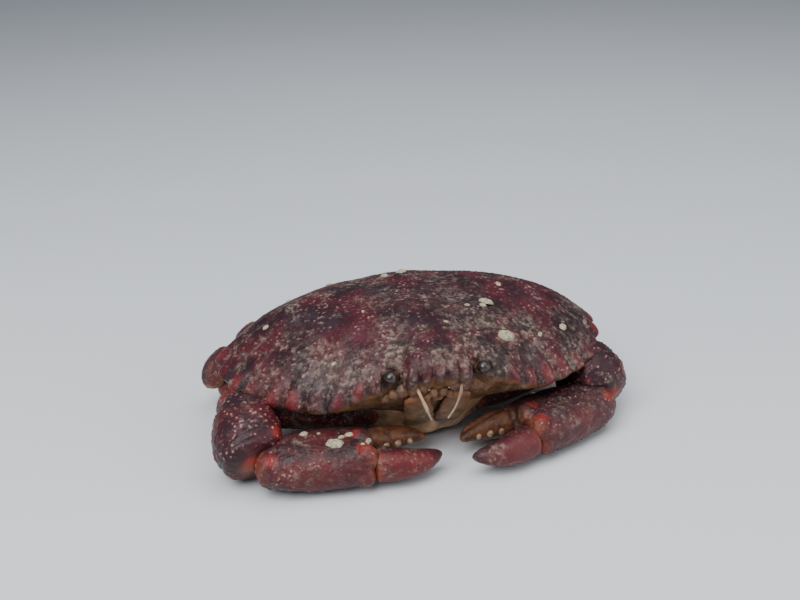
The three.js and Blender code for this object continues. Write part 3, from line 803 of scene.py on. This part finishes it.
# %% Build the walking legs
LEGS = [
    dict(name="leg1", root=(23, -13), turn=dict(right=10, left=28), reach=1.08, size=1, knee=18,
         sweep=8, tip=7),
    dict(name="leg2", root=(24, -2), turn=dict(right=19, left=42), reach=1.2, size=1, knee=26,
         sweep=8, tip=7),
    dict(name="leg3", root=(22, 9), turn=dict(right=36, left=58), reach=1.1, size=0.93, knee=26,
         sweep=7, tip=7),
    dict(name="leg4", root=(17, 17), turn=dict(right=62, left=76), reach=0.96, size=0.8, knee=22,
         sweep=2, tip=14),
]
LEG_ROOT_HEIGHT = 13
KNEE_REACH = 44
KNUCKLE_REACH = 52
KNEE_BEND = 0.42
ANKLE_REACH = 25
ANKLE_HEIGHT = 4.8
TIP_HEIGHT = 0.6
LEG_SECTIONS = dict(
    merus=[(0, 7, 9), (0.12, 8, 10.5), (0.35, 8.6, 12.6), (0.75, 8.8, 12.4), (0.95, 8, 10.5),
           (1, 5.4, 7)],
    carpus=[(0, 5.6, 7.4), (0.12, 8.4, 11), (0.5, 9, 12), (0.85, 8.2, 10.6), (1, 5.6, 7.4)],
    propodus=[(0, 5, 6.4), (0.12, 7.4, 9.6), (0.5, 7.2, 9.2), (0.93, 6, 7.6), (1, 4.4, 5.6)],
    dactyl=[(0, 4.4, 5.2), (0.12, 5.2, 6.4), (0.5, 4.2, 5), (0.85, 2.4, 2.8), (1, 1.3, 1.5)],
)


def leg_paths(leg, side_name):
    side = -1 if side_name == "right" else 1
    turn = math.radians(leg["turn"][side_name])
    out = np.array([side * math.cos(turn), math.sin(turn), 0])
    behind = np.array([-side * math.sin(turn), math.cos(turn), 0])
    root = np.array([side * leg["root"][0], leg["root"][1], 0.0])

    def place(reach, height, swept):
        point = root + out * reach * leg["reach"] + behind * leg["sweep"] * swept
        return np.array([point[0], point[1], height])

    knee = place(KNEE_REACH, leg["knee"], 0)
    knuckle = place(KNUCKLE_REACH, leg["knee"] * 0.36, 0.35)
    ankle = place(ANKLE_REACH, ANKLE_HEIGHT, 0.9)
    tip = place(leg["tip"], TIP_HEIGHT, 1.1)
    middle = place((ANKLE_REACH + leg["tip"]) / 2, ANKLE_HEIGHT - 0.4, 1)
    bulge = KNEE_BEND * np.linalg.norm(knuckle - knee)
    return behind, dict(
        merus=along_line(place(0, LEG_ROOT_HEIGHT, 0), knee),
        carpus=bowed(knee, knee + (knuckle - knee) * 0.45 + out * bulge, knuckle),
        propodus=along_line(knuckle, ankle),
        dactyl=bowed(ankle, middle, tip),
    )


def build_leg(leg, side_name, seed):
    behind, paths = leg_paths(leg, side_name)
    made = []
    for k, (segment, path) in enumerate(paths.items()):
        sections = [(s[0], s[1] * leg["size"], s[2] * leg["size"]) for s in LEG_SECTIONS[segment]]
        ends = (0.06, 0.0) if segment == "dactyl" else (0.06, 0.06)
        rings, share, turn = limb_rings(path, behind, sections, round_ends=ends)
        tip = ease(0.8, 0.97, share) if segment == "dactyl" else None
        name = f"{side_name} {leg['name']} {segment}"
        made.append(dress_limb(name, name.replace(" ", "_"), rings, share, leg_paint, seed + k,
                               ridges=0.16, turn=turn, tip=tip))
    return made


walking_legs = []
for s, side_name in enumerate(("right", "left")):
    for n, leg in enumerate(LEGS):
        walking_legs += build_leg(leg, side_name, 100 + 40 * s + 7 * n)
print("leg pieces:", len(walking_legs))

# %% [markdown]
# ## The claws
#
# Each claw is a heavy palm with a fixed finger, a moving finger hinged beside it, and behind them
# the wrist and the arm. Working in the room's directions would make every measure depend on how
# the claw is turned, so the palm has its own: along to the finger tips, dorsal towards the moving
# finger, and face across both.

# %% Claw measures
CLAWS = dict(
    right=dict(root=(-19, -26, 15), elbow=(-69, -22, 22), wrist=(-71, -50, 11), aim=(-9, -48, 9)),
    left=dict(root=(19, -25, 15), elbow=(63, -9, 22), wrist=(76, -31, 10), aim=(10, -54, 9)),
)
CLAW_TILT = math.radians(-3)
PALM_LENGTH = 44
FINGER_LENGTH = 27
CLAW_MERUS = [(0, 10, 11), (0.2, 13, 15), (0.6, 15, 18), (0.92, 15, 18), (1, 13, 15)]
CLAW_CARPUS = [(0, 15, 15), (0.12, 21, 21), (0.4, 27, 26), (0.7, 28, 26), (0.9, 22, 21), (1, 15, 15)]
CARPUS_BEND = 5
PALM_KNUCKLES = [(5, 7, 8, 4.5, 1.0), (40, 7, 8, 4.0, 0.9), (38, -2, 9, 4.0, 0.7),
                 (22, 12, 5, 9, -0.8), (22, 0, 9, 9, -0.5)]
WRIST_KNUCKLES = dict(
    right=[(-72, -51, 14, 4.2, 1.4), (-62, -45, 22, 3.6, 1.2), (-80, -38, 18, 5, 0.8),
           (-74, -30, 26, 5, 0.9), (-68, -47, 17, 3.0, -1.0)],
    left=[(78, -32, 13, 4.2, 1.2), (68, -30, 20, 3.6, 1.1), (80, -20, 18, 5, 0.8),
          (70, -16, 25, 5, 0.8)])
PALM = [(0, 11, 14), (0.07, 14, 18), (0.25, 17, 24), (0.5, 18.6, 28), (0.75, 18, 29.5),
        (0.93, 15.5, 28), (1, 13, 24)]
FIXED_FINGER = [(0, 12, 12), (0.3, 12.5, 12.5), (0.55, 10.5, 10.5), (0.75, 8.2, 8.4), (0.9, 5.2, 5.4),
                (0.97, 3.2, 3.4), (1, 1.6, 1.6)]
MOVING_FINGER = [(0, 11, 12), (0.08, 12.5, 13.6), (0.3, 12, 12.6), (0.55, 10, 10.4), (0.77, 7.6, 7.8),
                 (0.91, 4.8, 5), (0.97, 3, 3.1), (1, 1.5, 1.5)]
FIXED_LINE = [(-12, -6), (0, -7.6), (10, -8.8), (19, -8.6), (FINGER_LENGTH - 3, -6.4)]
MOVING_LINE = [(0, 7), (8, 8.6), (17, 8.6), (FINGER_LENGTH, 5.2)]
PALM_LOBES = [(-2.5, 8.5, 4.0, 4.6), (-3, -1, 5.0, 4.8), (-4, 11, -2, 4.2)]


class ClawFrame:
    """A claw's own directions and places."""

    def __init__(self, claw):
        self.wrist = np.array(claw["wrist"], float)
        self.along = unit(np.array(claw["aim"], float) - self.wrist)
        forwards = np.array([0, -math.cos(CLAW_TILT), math.sin(CLAW_TILT)])
        self.dorsal = unit(forwards - self.along * forwards.dot(self.along))
        self.face = unit(np.cross(self.along, self.dorsal))
        self.root = np.array(claw["root"], float)
        self.elbow = np.array(claw["elbow"], float)

    def place(self, a, d, f=0.0):
        return self.wrist + self.along * a + self.dorsal * d + self.face * f

    def local(self, points):
        """Distances along, dorsal and across for points."""
        away = points - self.wrist
        return away @ self.along, away @ self.dorsal, away @ self.face


print("palm and finger in mm:", PALM_LENGTH, FINGER_LENGTH)

# %% [markdown]
# ## Palms and fingers
#
# Rows of larger grains run along the palm, red knuckles stand at both of its ends, and a crease
# parts it from the fingers. A sculpting brush could draw the rows, but they run straight along the
# claw, so the height of the grains simply follows the distance from each row, which is easy to say
# in the claw's own directions. The palm and its fixed finger are one shell, so their skins are
# welded and the seam between them smoothed.

# %% Dress a claw
def knob(centre, radius, count=14):
    """A small round lump as rings."""
    lat = np.linspace(-math.pi / 2 * 0.96, math.pi / 2 * 0.96, count)
    lon = np.linspace(0, TAU, count * 2, endpoint=False)
    rings = np.stack([np.stack([radius * np.cos(a) * np.cos(lon), radius * np.cos(a) * np.sin(lon),
                                np.full_like(lon, radius * np.sin(a))], -1) for a in lat])
    return skin_over(rings + np.asarray(centre))


def palm_rows(d, width=1.1):
    """Ridges where the palm's larger grains stand, by height on the palm."""
    return sum(np.exp(-((d - row) / width) ** 2) for row in (-3.5, 2.0, 7.0, 11.0))


def dress_claw(mesh, node, claw, seed, finger=False, lumps=()):
    points, facing = places_and_facings(mesh)
    height, crown = knuckles(points, lumps)
    a, d, f = claw.local(points)
    on_finger = ease(PALM_LENGTH - 3, PALM_LENGTH + 4, a) if not finger else np.ones(len(points))
    coarse = grains(points, 1.7, seed, 0.52)
    fine = grains(points, 1.0, seed + 3, 0.5)
    rows = palm_rows(d) * (1 - on_finger)
    lift = (0.16 + 0.4 * rows) * coarse * (1 - 0.75 * on_finger) + 0.08 * fine
    lift += 0.3 * swells(points, 8, seed)
    finger_groove = np.exp(-(d - (3 if finger else -9)) ** 2) * ease(0, 0.5, facing @ claw.face)
    lift -= 0.9 * on_finger * finger_groove
    crease = np.exp(-((a - PALM_LENGTH - 1) / 1.6) ** 2) * ease(2, -2, d)
    lift -= 1.1 * crease * (0 if finger else 1)
    lift += height
    move_points(mesh, stand_on_floor(points + facing * lift[:, None]))
    hinge = np.exp(-((a - PALM_LENGTH) / 2.0) ** 2) * ease(-4, 4, d)
    bright = np.clip(0.35 * ease(5, 12, d) + 0.15 * on_finger + ease(0.3, 0.9, crown), 0, 1)
    tan = np.clip(ease(-9, -15, d) + (0 if finger else 0.9 * on_finger), 0, 1)
    store(mesh, grain=coarse * (0.75 + 0.25 * np.clip(rows, 0, 1)), edge=bright,
          groove=np.clip(crease + 0.25 * (1 - coarse), 0, 1) * (1 - 0.7 * on_finger),
          joint=np.clip(0.6 * hinge + 0.7 * np.exp(-(a / 2.5) ** 2), 0, 1), belly=tan)
    return place_piece(mesh, [node], claw_paint)


print("claw surface ready, rows at 2 mm:", round(float(palm_rows(2.0)), 2))

# %% Build both claws
def build_claw(side_name, seed):
    claw = ClawFrame(CLAWS[side_name])
    voxel = 0.5
    palm, _, _ = limb_rings(along_line(claw.place(0, 0), claw.place(PALM_LENGTH, 0)), claw.face, PALM)
    fixed_line = along_line(*[claw.place(PALM_LENGTH + a, d) for a, d in FIXED_LINE])
    fixed, _, _ = limb_rings(fixed_line, claw.face, FIXED_FINGER, round_ends=(0.05, 0.0))
    up = 1 if claw.face[2] > 0 else -1
    lobes = [knob(claw.place(PALM_LENGTH + a, d, f * up), radius) for a, d, f, radius in PALM_LOBES]
    lumps = [(*claw.place(a, d, f * up), radius, rise) for a, d, f, radius, rise in PALM_KNUCKLES]
    mesh = welded(f"{side_name} palm", [skin_over(palm), skin_over(fixed)] + lobes, voxel, 5)
    made = [dress_claw(mesh, f"{side_name}_claw_palm", claw, seed, lumps=lumps)]
    moving_line = along_line(*[claw.place(PALM_LENGTH + a, d) for a, d in MOVING_LINE])
    moving, _, _ = limb_rings(moving_line, claw.face, MOVING_FINGER, around=72, steps=140,
                              round_ends=(0.08, 0.0))
    mesh = raw_mesh(f"{side_name} finger", *skin_over(moving))
    made.append(dress_claw(mesh, f"{side_name}_claw_finger", claw, seed + 5, finger=True))
    outwards = unit(unit(claw.elbow - claw.root) - claw.along)
    bend = (claw.elbow + claw.wrist) / 2 + outwards * CARPUS_BEND
    across = unit(np.cross(claw.wrist - claw.elbow, outwards))
    rings, share, _ = limb_rings(along_line(claw.root, claw.elbow), (0, 1, 0), CLAW_MERUS, around=96,
                                 steps=140)
    made.append(dress_limb(f"{side_name} arm", f"{side_name}_claw_merus", rings, share, claw_paint,
                           seed + 9))
    rings, share, _ = limb_rings(bowed(claw.elbow, bend, claw.wrist), across, CLAW_CARPUS, around=130,
                                 steps=130, round_ends=(0.1, 0.1))
    made.append(dress_limb(f"{side_name} wrist", f"{side_name}_claw_carpus", rings, share, claw_paint,
                           seed + 13, grain_size=1.8, lift=0.4,
                           lumps=WRIST_KNUCKLES[side_name], joint_width=0.022, under=0.35))
    return made


claws = dict(right=build_claw("right", 300), left=build_claw("left", 340))
for side_name, pieces in claws.items():
    print(side_name, "claw:", [(p.name, len(p.data.vertices)) for p in pieces])

# %% [markdown]
# ## The face
#
# Two mouth plates close over the mouth like doors. Above them the short feelers fold into their
# pits among small lumps, the long pair hangs down, and each eye stands on a stalk in its notch.
# They could be one modelled mask, but each part is hard and separate in life, so each is a limb of
# its own, and one loop over both sides keeps the face even. The lumps have no length, so they are
# small balls welded together.

# %% Face measures and the eye's finish
MOUTH_WIDTH = 11.5
MOUTH_THICK = 3.2
MOUTH_SECTIONS = [(0, 0.62, 0.6), (0.08, 0.86, 1), (0.36, 1, 1), (0.41, 0.94, 0.72), (0.46, 1, 1.05),
                  (0.8, 0.96, 1), (1, 0.74, 0.6)]
MOUTH_SPREAD = 3.2
FACE_LUMPS = [(6.2, -50.4, 36.0, 2.2), (9.8, -49.6, 35.4, 2.7), (13.4, -47.8, 34.6, 2.6),
              (2.0, -49.6, 33.4, 2.0), (4.6, -49.2, 32.0, 1.8), (16.4, -46.4, 32.6, 2.4),
              (19.6, -45.0, 31.0, 2.2), (0.9, -47.6, 30.4, 1.6)]
EYE_RADIUS = 2.7
EYE_PLACE = (18, -48.3, 41.2)
STALK_LINE = [(12.4, -41.5, 37.2), (16.6, -46.6, 40.2)]
STALK_SECTIONS = [(0, 4.0, 3.6), (0.5, 3.4, 3.2), (1, 4.2, 4.0)]
LONG_FEELER_LINE = [(9.4, -42.5, 36), (8.8, -48.5, 36.6), (7.9, -53.2, 35), (5.6, -54, 29),
                    (3.2, -51.4, 22.5)]
LONG_FEELER_SECTIONS = [(0, 3.4, 3.0), (0.2, 3.2, 2.8), (0.26, 1.5, 1.5), (0.6, 1.1, 1.1), (1, 0.5, 0.5)]
SHORT_FEELER_LINE = [(3.2, -44, 34.4), (3.6, -47.4, 35.6), (4.2, -50.4, 35)]
SHORT_FEELER_SECTIONS = [(0, 2.6, 2.6), (0.5, 2.2, 2.0), (1, 0.9, 0.9)]
eye_finish = Finish("wet black eye")
eye_colour = eye_finish.blend(eye_finish.span(eye_finish.noise(1.2), 0.4, 0.6), (0.010, 0.007, 0.006),
                              (0.030, 0.018, 0.014))
eye_finish.join(eye_colour, eye_finish.shader.inputs["Base Color"])
eye_finish.shader.inputs["Roughness"].default_value = 0.3
eye_finish.shader.inputs["Coat Weight"].default_value = 0.12
print("eye and mouth plate in mm:", EYE_RADIUS, MOUTH_WIDTH)

# %% Build the face
def sided(line, side):
    """A line on one side of the face: its x is turned over for the right side."""
    return along_line(*[(side * x, y, z) for x, y, z in line])


def build_face(side_name, seed):
    side = -1 if side_name == "right" else 1
    made = []
    x = side * (MOUTH_WIDTH / 2 + 0.15)
    sections = [(s, w * MOUTH_WIDTH, t * MOUTH_THICK) for s, w, t in MOUTH_SECTIONS]
    top = np.array([x + side * MOUTH_SPREAD, -49.4, 33.2])
    plate = bowed(top, np.array([x - side * 0.6, -45.4, 20]), np.array([x, -31, 10]))
    rings, share, _ = limb_rings(plate, (1, 0, 0), sections)
    made.append(dress_limb(f"{side_name} mouth plate", f"{side_name}_mouth_plate", rings, share,
                           mouth_paint, seed, lift=0.12))
    across = unit(np.cross([side * 0.77, 0.64, 0], [0, 0, 1]))
    rings, share, _ = limb_rings(sided(STALK_LINE, side), across, STALK_SECTIONS, around=32, steps=30)
    made.append(dress_limb(f"{side_name} eyestalk", f"{side_name}_eyestalk", rings, share, stalk_paint_with_painted_shade,
                           seed + 1, lift=0.05))
    lumps = [knob((side * x, y, z), r) for x, y, z, r in FACE_LUMPS]
    mesh = welded(f"{side_name} feeler base", lumps, 0.3, 4)
    made.append(dress_lumps(mesh, mouth_paint, seed + 6, silted=0.35))
    points, faces = knob((0, 0, 0), EYE_RADIUS, 24)
    points = points * np.array([1, 1, 0.9]) + np.array(EYE_PLACE) * np.array([side, 1, 1])
    made.append(place_piece(raw_mesh(f"{side_name} eye", points, faces), [f"{side_name}_eye"],
                            eye_finish.material))
    rings, share, _ = limb_rings(sided(LONG_FEELER_LINE, side), (1, 0, 0), LONG_FEELER_SECTIONS,
                                 around=20, steps=120, round_ends=(0.05, 0))
    made.append(dress_limb(f"{side_name} long feeler", f"{side_name}_antenna", rings, share,
                           feeler_paint, seed + 2, lift=0.02))
    rings, share, _ = limb_rings(sided(SHORT_FEELER_LINE, side), (1, 0, 0), SHORT_FEELER_SECTIONS,
                                 around=20, steps=40)
    made.append(dress_limb(f"{side_name} short feeler", f"{side_name}_antennule", rings, share,
                           feeler_paint, seed + 3, lift=0.02))
    return made


face = build_face("right", 400) + build_face("left", 420)
print("face pieces:", len(face))

# %% [markdown]
# ## Teeth of the claws, and barnacles
#
# Blunt worn teeth line the biting edges. Barnacles have settled on the back and on the claws:
# each is a low cone of ribbed walls round a sunken mouth. They could be scattered by a particle
# system, but only a few have settled and where they sit is part of this crab's look, so each is
# set by naming a place near the shell. It finds the nearest point of the skin and stands up from
# it along the way that the skin faces.

# %% Lime finishes and a barnacle
def lime_finish(name, light, dark, rough):
    """A chalky or worn pale colour with stains."""
    f = Finish(name)
    colour = f.blend(f.span(f.noise(1.6, 5, 0.65), 0.38, 0.62), light, dark)
    colour = f.blend(f.span(f.noise(0.7, 4, 0.6), 0.52, 0.7, 0, 0.6), colour, (0.16, 0.13, 0.08))
    f.join(colour, f.shader.inputs["Base Color"])
    f.join(f.relief(f.noise(0.5, 5, 0.7), 0.6, 0.2), f.shader.inputs["Normal"])
    f.shader.inputs["Roughness"].default_value = rough
    return f.material


tooth_paint = lime_finish("worn tooth", (0.27, 0.185, 0.115), (0.17, 0.09, 0.05), 0.4)
barnacle_paint = lime_finish("barnacle lime", (0.44, 0.385, 0.275), (0.25, 0.22, 0.15), 0.8)
BARNACLE_PROFILE = [(1.0, -0.25), (1.02, 0.0), (0.86, 0.26), (0.68, 0.46), (0.52, 0.58),
                    (0.42, 0.58), (0.34, 0.44), (0.26, 0.26), (0.1, 0.24)]
BARNACLE_MOUTH = 0.4


def barnacle(centre, facing, radius, seed):
    """A low ribbed cone with a sunken mouth, as rings from its foot to the floor of the mouth."""
    helper = np.array([1.0, 0, 0]) if abs(facing[0]) < 0.8 else np.array([0, 1.0, 0])
    across = unit(np.cross(facing, helper))
    other = np.cross(facing, across)
    turn = np.linspace(0, TAU, 48, endpoint=False)
    throw = np.random.default_rng(seed)
    ribs = 1 + 0.07 * np.cos(6 * turn + throw.uniform(0, TAU))
    ribs = ribs + 0.04 * np.cos(17 * turn + throw.uniform(0, TAU))
    squash = 1 + 0.18 * np.cos(2 * turn + throw.uniform(0, TAU))
    rings = []
    for out, rise in BARNACLE_PROFILE:
        reach = radius * out * squash * (ribs if out > BARNACLE_MOUTH else 1)
        ring = centre + np.outer(reach * np.cos(turn), across) + np.outer(reach * np.sin(turn), other)
        rings.append(ring + facing * rise * radius * 0.8)
    return skin_over(np.stack(rings))


def settle(host, name, places, seed):
    """Barnacles of the given radii, at the points of the host's skin nearest to the named places."""
    points, facing = places_and_facings(host.data)
    parts = []
    for k, (x, y, z, radius) in enumerate(places):
        near = int(np.argmin(((points - np.array([x, y, z])) ** 2).sum(1)))
        parts.append(barnacle(points[near], unit(facing[near]), radius, seed + k))
    return place_piece(joined(name, parts), [], barnacle_paint)


print("barnacle rings:", len(BARNACLE_PROFILE))

# %% Set the teeth and barnacles
BACK_BARNACLES = [(-7.3, 18.7, 55, 1.7), (0.5, 21, 55, 2.1), (28.4, -16, 54, 2.7), (26, -19, 54, 1.3),
                  (31.2, -34.5, 46, 3.1), (58.8, -22.4, 41, 1.8), (-60.5, -4.4, 47, 1.2),
                  (19.6, -18, 54, 1.0), (38, -1.3, 54, 1.2), (-38, -36, 44, 0.9), (-22, -14, 54, 0.8),
                  (8, -30, 53, 0.9), (47, -30, 44, 1.1), (-50, 16, 50, 1.3), (14, 32, 48, 1.9),
                  (-30, 30, 48, 1.5), (56, 18, 46, 1.6)]
CLAW_BARNACLES = dict(
    right=[(20, -6, 9, 1.7), (30, 3.5, 9, 2.8), (36, -1, 9, 1.5), (33, 0, 9, 1.2), (40, 6, 8, 1.0),
           (43, 3, 8, 1.3), (25, -5, 9, 0.9)],
    left=[(4, -8, 9, 2.2), (12, -11, 9, 1.0), (30, -12, 8, 1.2)])
FIXED_TEETH = [(7, 1.7), (12, 1.5), (17, 1.2)]
MOVING_TEETH = [(9, 1.4), (14, 1.2), (19, 1.0)]
bits = [settle(back, "back barnacles", BACK_BARNACLES, 900)]
for side_name, places in CLAW_BARNACLES.items():
    claw = ClawFrame(CLAWS[side_name])
    up = 1 if claw.face[2] > 0 else -1
    spots = [(*claw.place(a, d, f * up), radius) for a, d, f, radius in places]
    bits.append(settle(claws[side_name][0], f"{side_name} claw barnacles", spots, 930))
    teeth = [knob(claw.place(PALM_LENGTH + a, -3.4 - a * 0.09), radius) for a, radius in FIXED_TEETH]
    teeth += [knob(claw.place(PALM_LENGTH + a, 3.6 - a * 0.03), radius) for a, radius in MOVING_TEETH]
    bits.append(place_piece(joined(f"{side_name} bite teeth", teeth), [], tooth_paint))
print("barnacle and tooth pieces:", [b.name for b in bits])

# %% [markdown]
# ## Floor, light and camera
#
# A plain pale floor and large soft lights show the shell's shine without hard glare. A small lamp
# would put white spots on every grain, so each light is most of a metre wide. The camera stands a
# little to the crab's right and looks down at it, close enough that the near claws look larger.
# Its place is worked out from an angle and a distance, which can be read off a picture, where a
# camera moved by hand could only be matched by eye.

# %% Floor and light
LIGHT_AIM = Vector((0, -20, 20)) / 1000
ROOM_COLOUR = (0.72, 0.78, 0.86, 1)
ROOM_STRENGTH = 0.33


def area_light(name, place, size, power):
    lamp = bpy.data.lights.new(name, "AREA")
    lamp.size = size
    lamp.energy = power
    holder = bpy.data.objects.new(name, lamp)
    holder.location = Vector(place)
    holder.rotation_euler = (LIGHT_AIM - holder.location).to_track_quat("-Z", "Y").to_euler()
    bpy.context.scene.collection.objects.link(holder)


floor_mesh = bpy.data.meshes.new("floor")
floor_mesh.from_pydata([(-3, -3, 0), (3, -3, 0), (3, 3, 0), (-3, 3, 0)], [], [(0, 1, 2, 3)])
floor = bpy.data.objects.new("floor", floor_mesh)
bpy.context.scene.collection.objects.link(floor)
floor_finish = Finish("pale floor")
floor_colour = floor_finish.blend(floor_finish.span(floor_finish.noise(900), 0.3, 0.7),
                                  (0.60, 0.63, 0.67), (0.64, 0.66, 0.69))
floor_finish.join(floor_colour, floor_finish.shader.inputs["Base Color"])
floor_finish.shader.inputs["Roughness"].default_value = 0.6
floor_mesh.materials.append(floor_finish.material)
area_light("window", (-0.45, -0.45, 0.8), 0.7, 12.0)
area_light("overhead", (0.15, -0.1, 1.0), 0.9, 7.0)
area_light("fill", (0.7, -0.5, 0.35), 0.7, 3.5)
world = bpy.data.worlds.new("soft room")
world.use_nodes = True
world.node_tree.nodes["Background"].inputs["Color"].default_value = ROOM_COLOUR
world.node_tree.nodes["Background"].inputs["Strength"].default_value = ROOM_STRENGTH
bpy.context.scene.world = world

# %% The camera
AZIMUTH = math.radians(-11)
ELEVATION = math.radians(24)
ROLL = math.radians(1.5)
DISTANCE = 0.43
PIXELS_PER_MM = 2.37
FRAME_WIDTH = 800
SENSOR_WIDTH = 36
PIXELS_ABOVE = 41
PIXELS_LEFT = 11
right_way = Vector((math.cos(AZIMUTH), math.sin(AZIMUTH), 0))
backwards = Vector((math.sin(AZIMUTH) * math.cos(ELEVATION), -math.cos(AZIMUTH) * math.cos(ELEVATION),
                    math.sin(ELEVATION)))
up_way = backwards.cross(right_way)
right_way, up_way = (right_way * math.cos(ROLL) - up_way * math.sin(ROLL),
                     right_way * math.sin(ROLL) + up_way * math.cos(ROLL))
centre = Vector((0, 0, CORNER_HEIGHT)) / 1000
centre += (up_way * PIXELS_ABOVE - right_way * PIXELS_LEFT) / PIXELS_PER_MM / 1000
camera_data = bpy.data.cameras.new("camera")
camera_data.sensor_width = SENSOR_WIDTH
camera_data.lens = DISTANCE * 1000 * PIXELS_PER_MM * SENSOR_WIDTH / FRAME_WIDTH
camera_data.clip_start = 0.01
camera = bpy.data.objects.new("camera", camera_data)
camera.matrix_world = Matrix((
    (right_way.x, up_way.x, backwards.x, 0), (right_way.y, up_way.y, backwards.y, 0),
    (right_way.z, up_way.z, backwards.z, 0), (0, 0, 0, 1)))
camera.location = centre + backwards * DISTANCE
bpy.context.scene.collection.objects.link(camera)
bpy.context.scene.camera = camera
print("camera at", [round(c, 3) for c in camera.location])
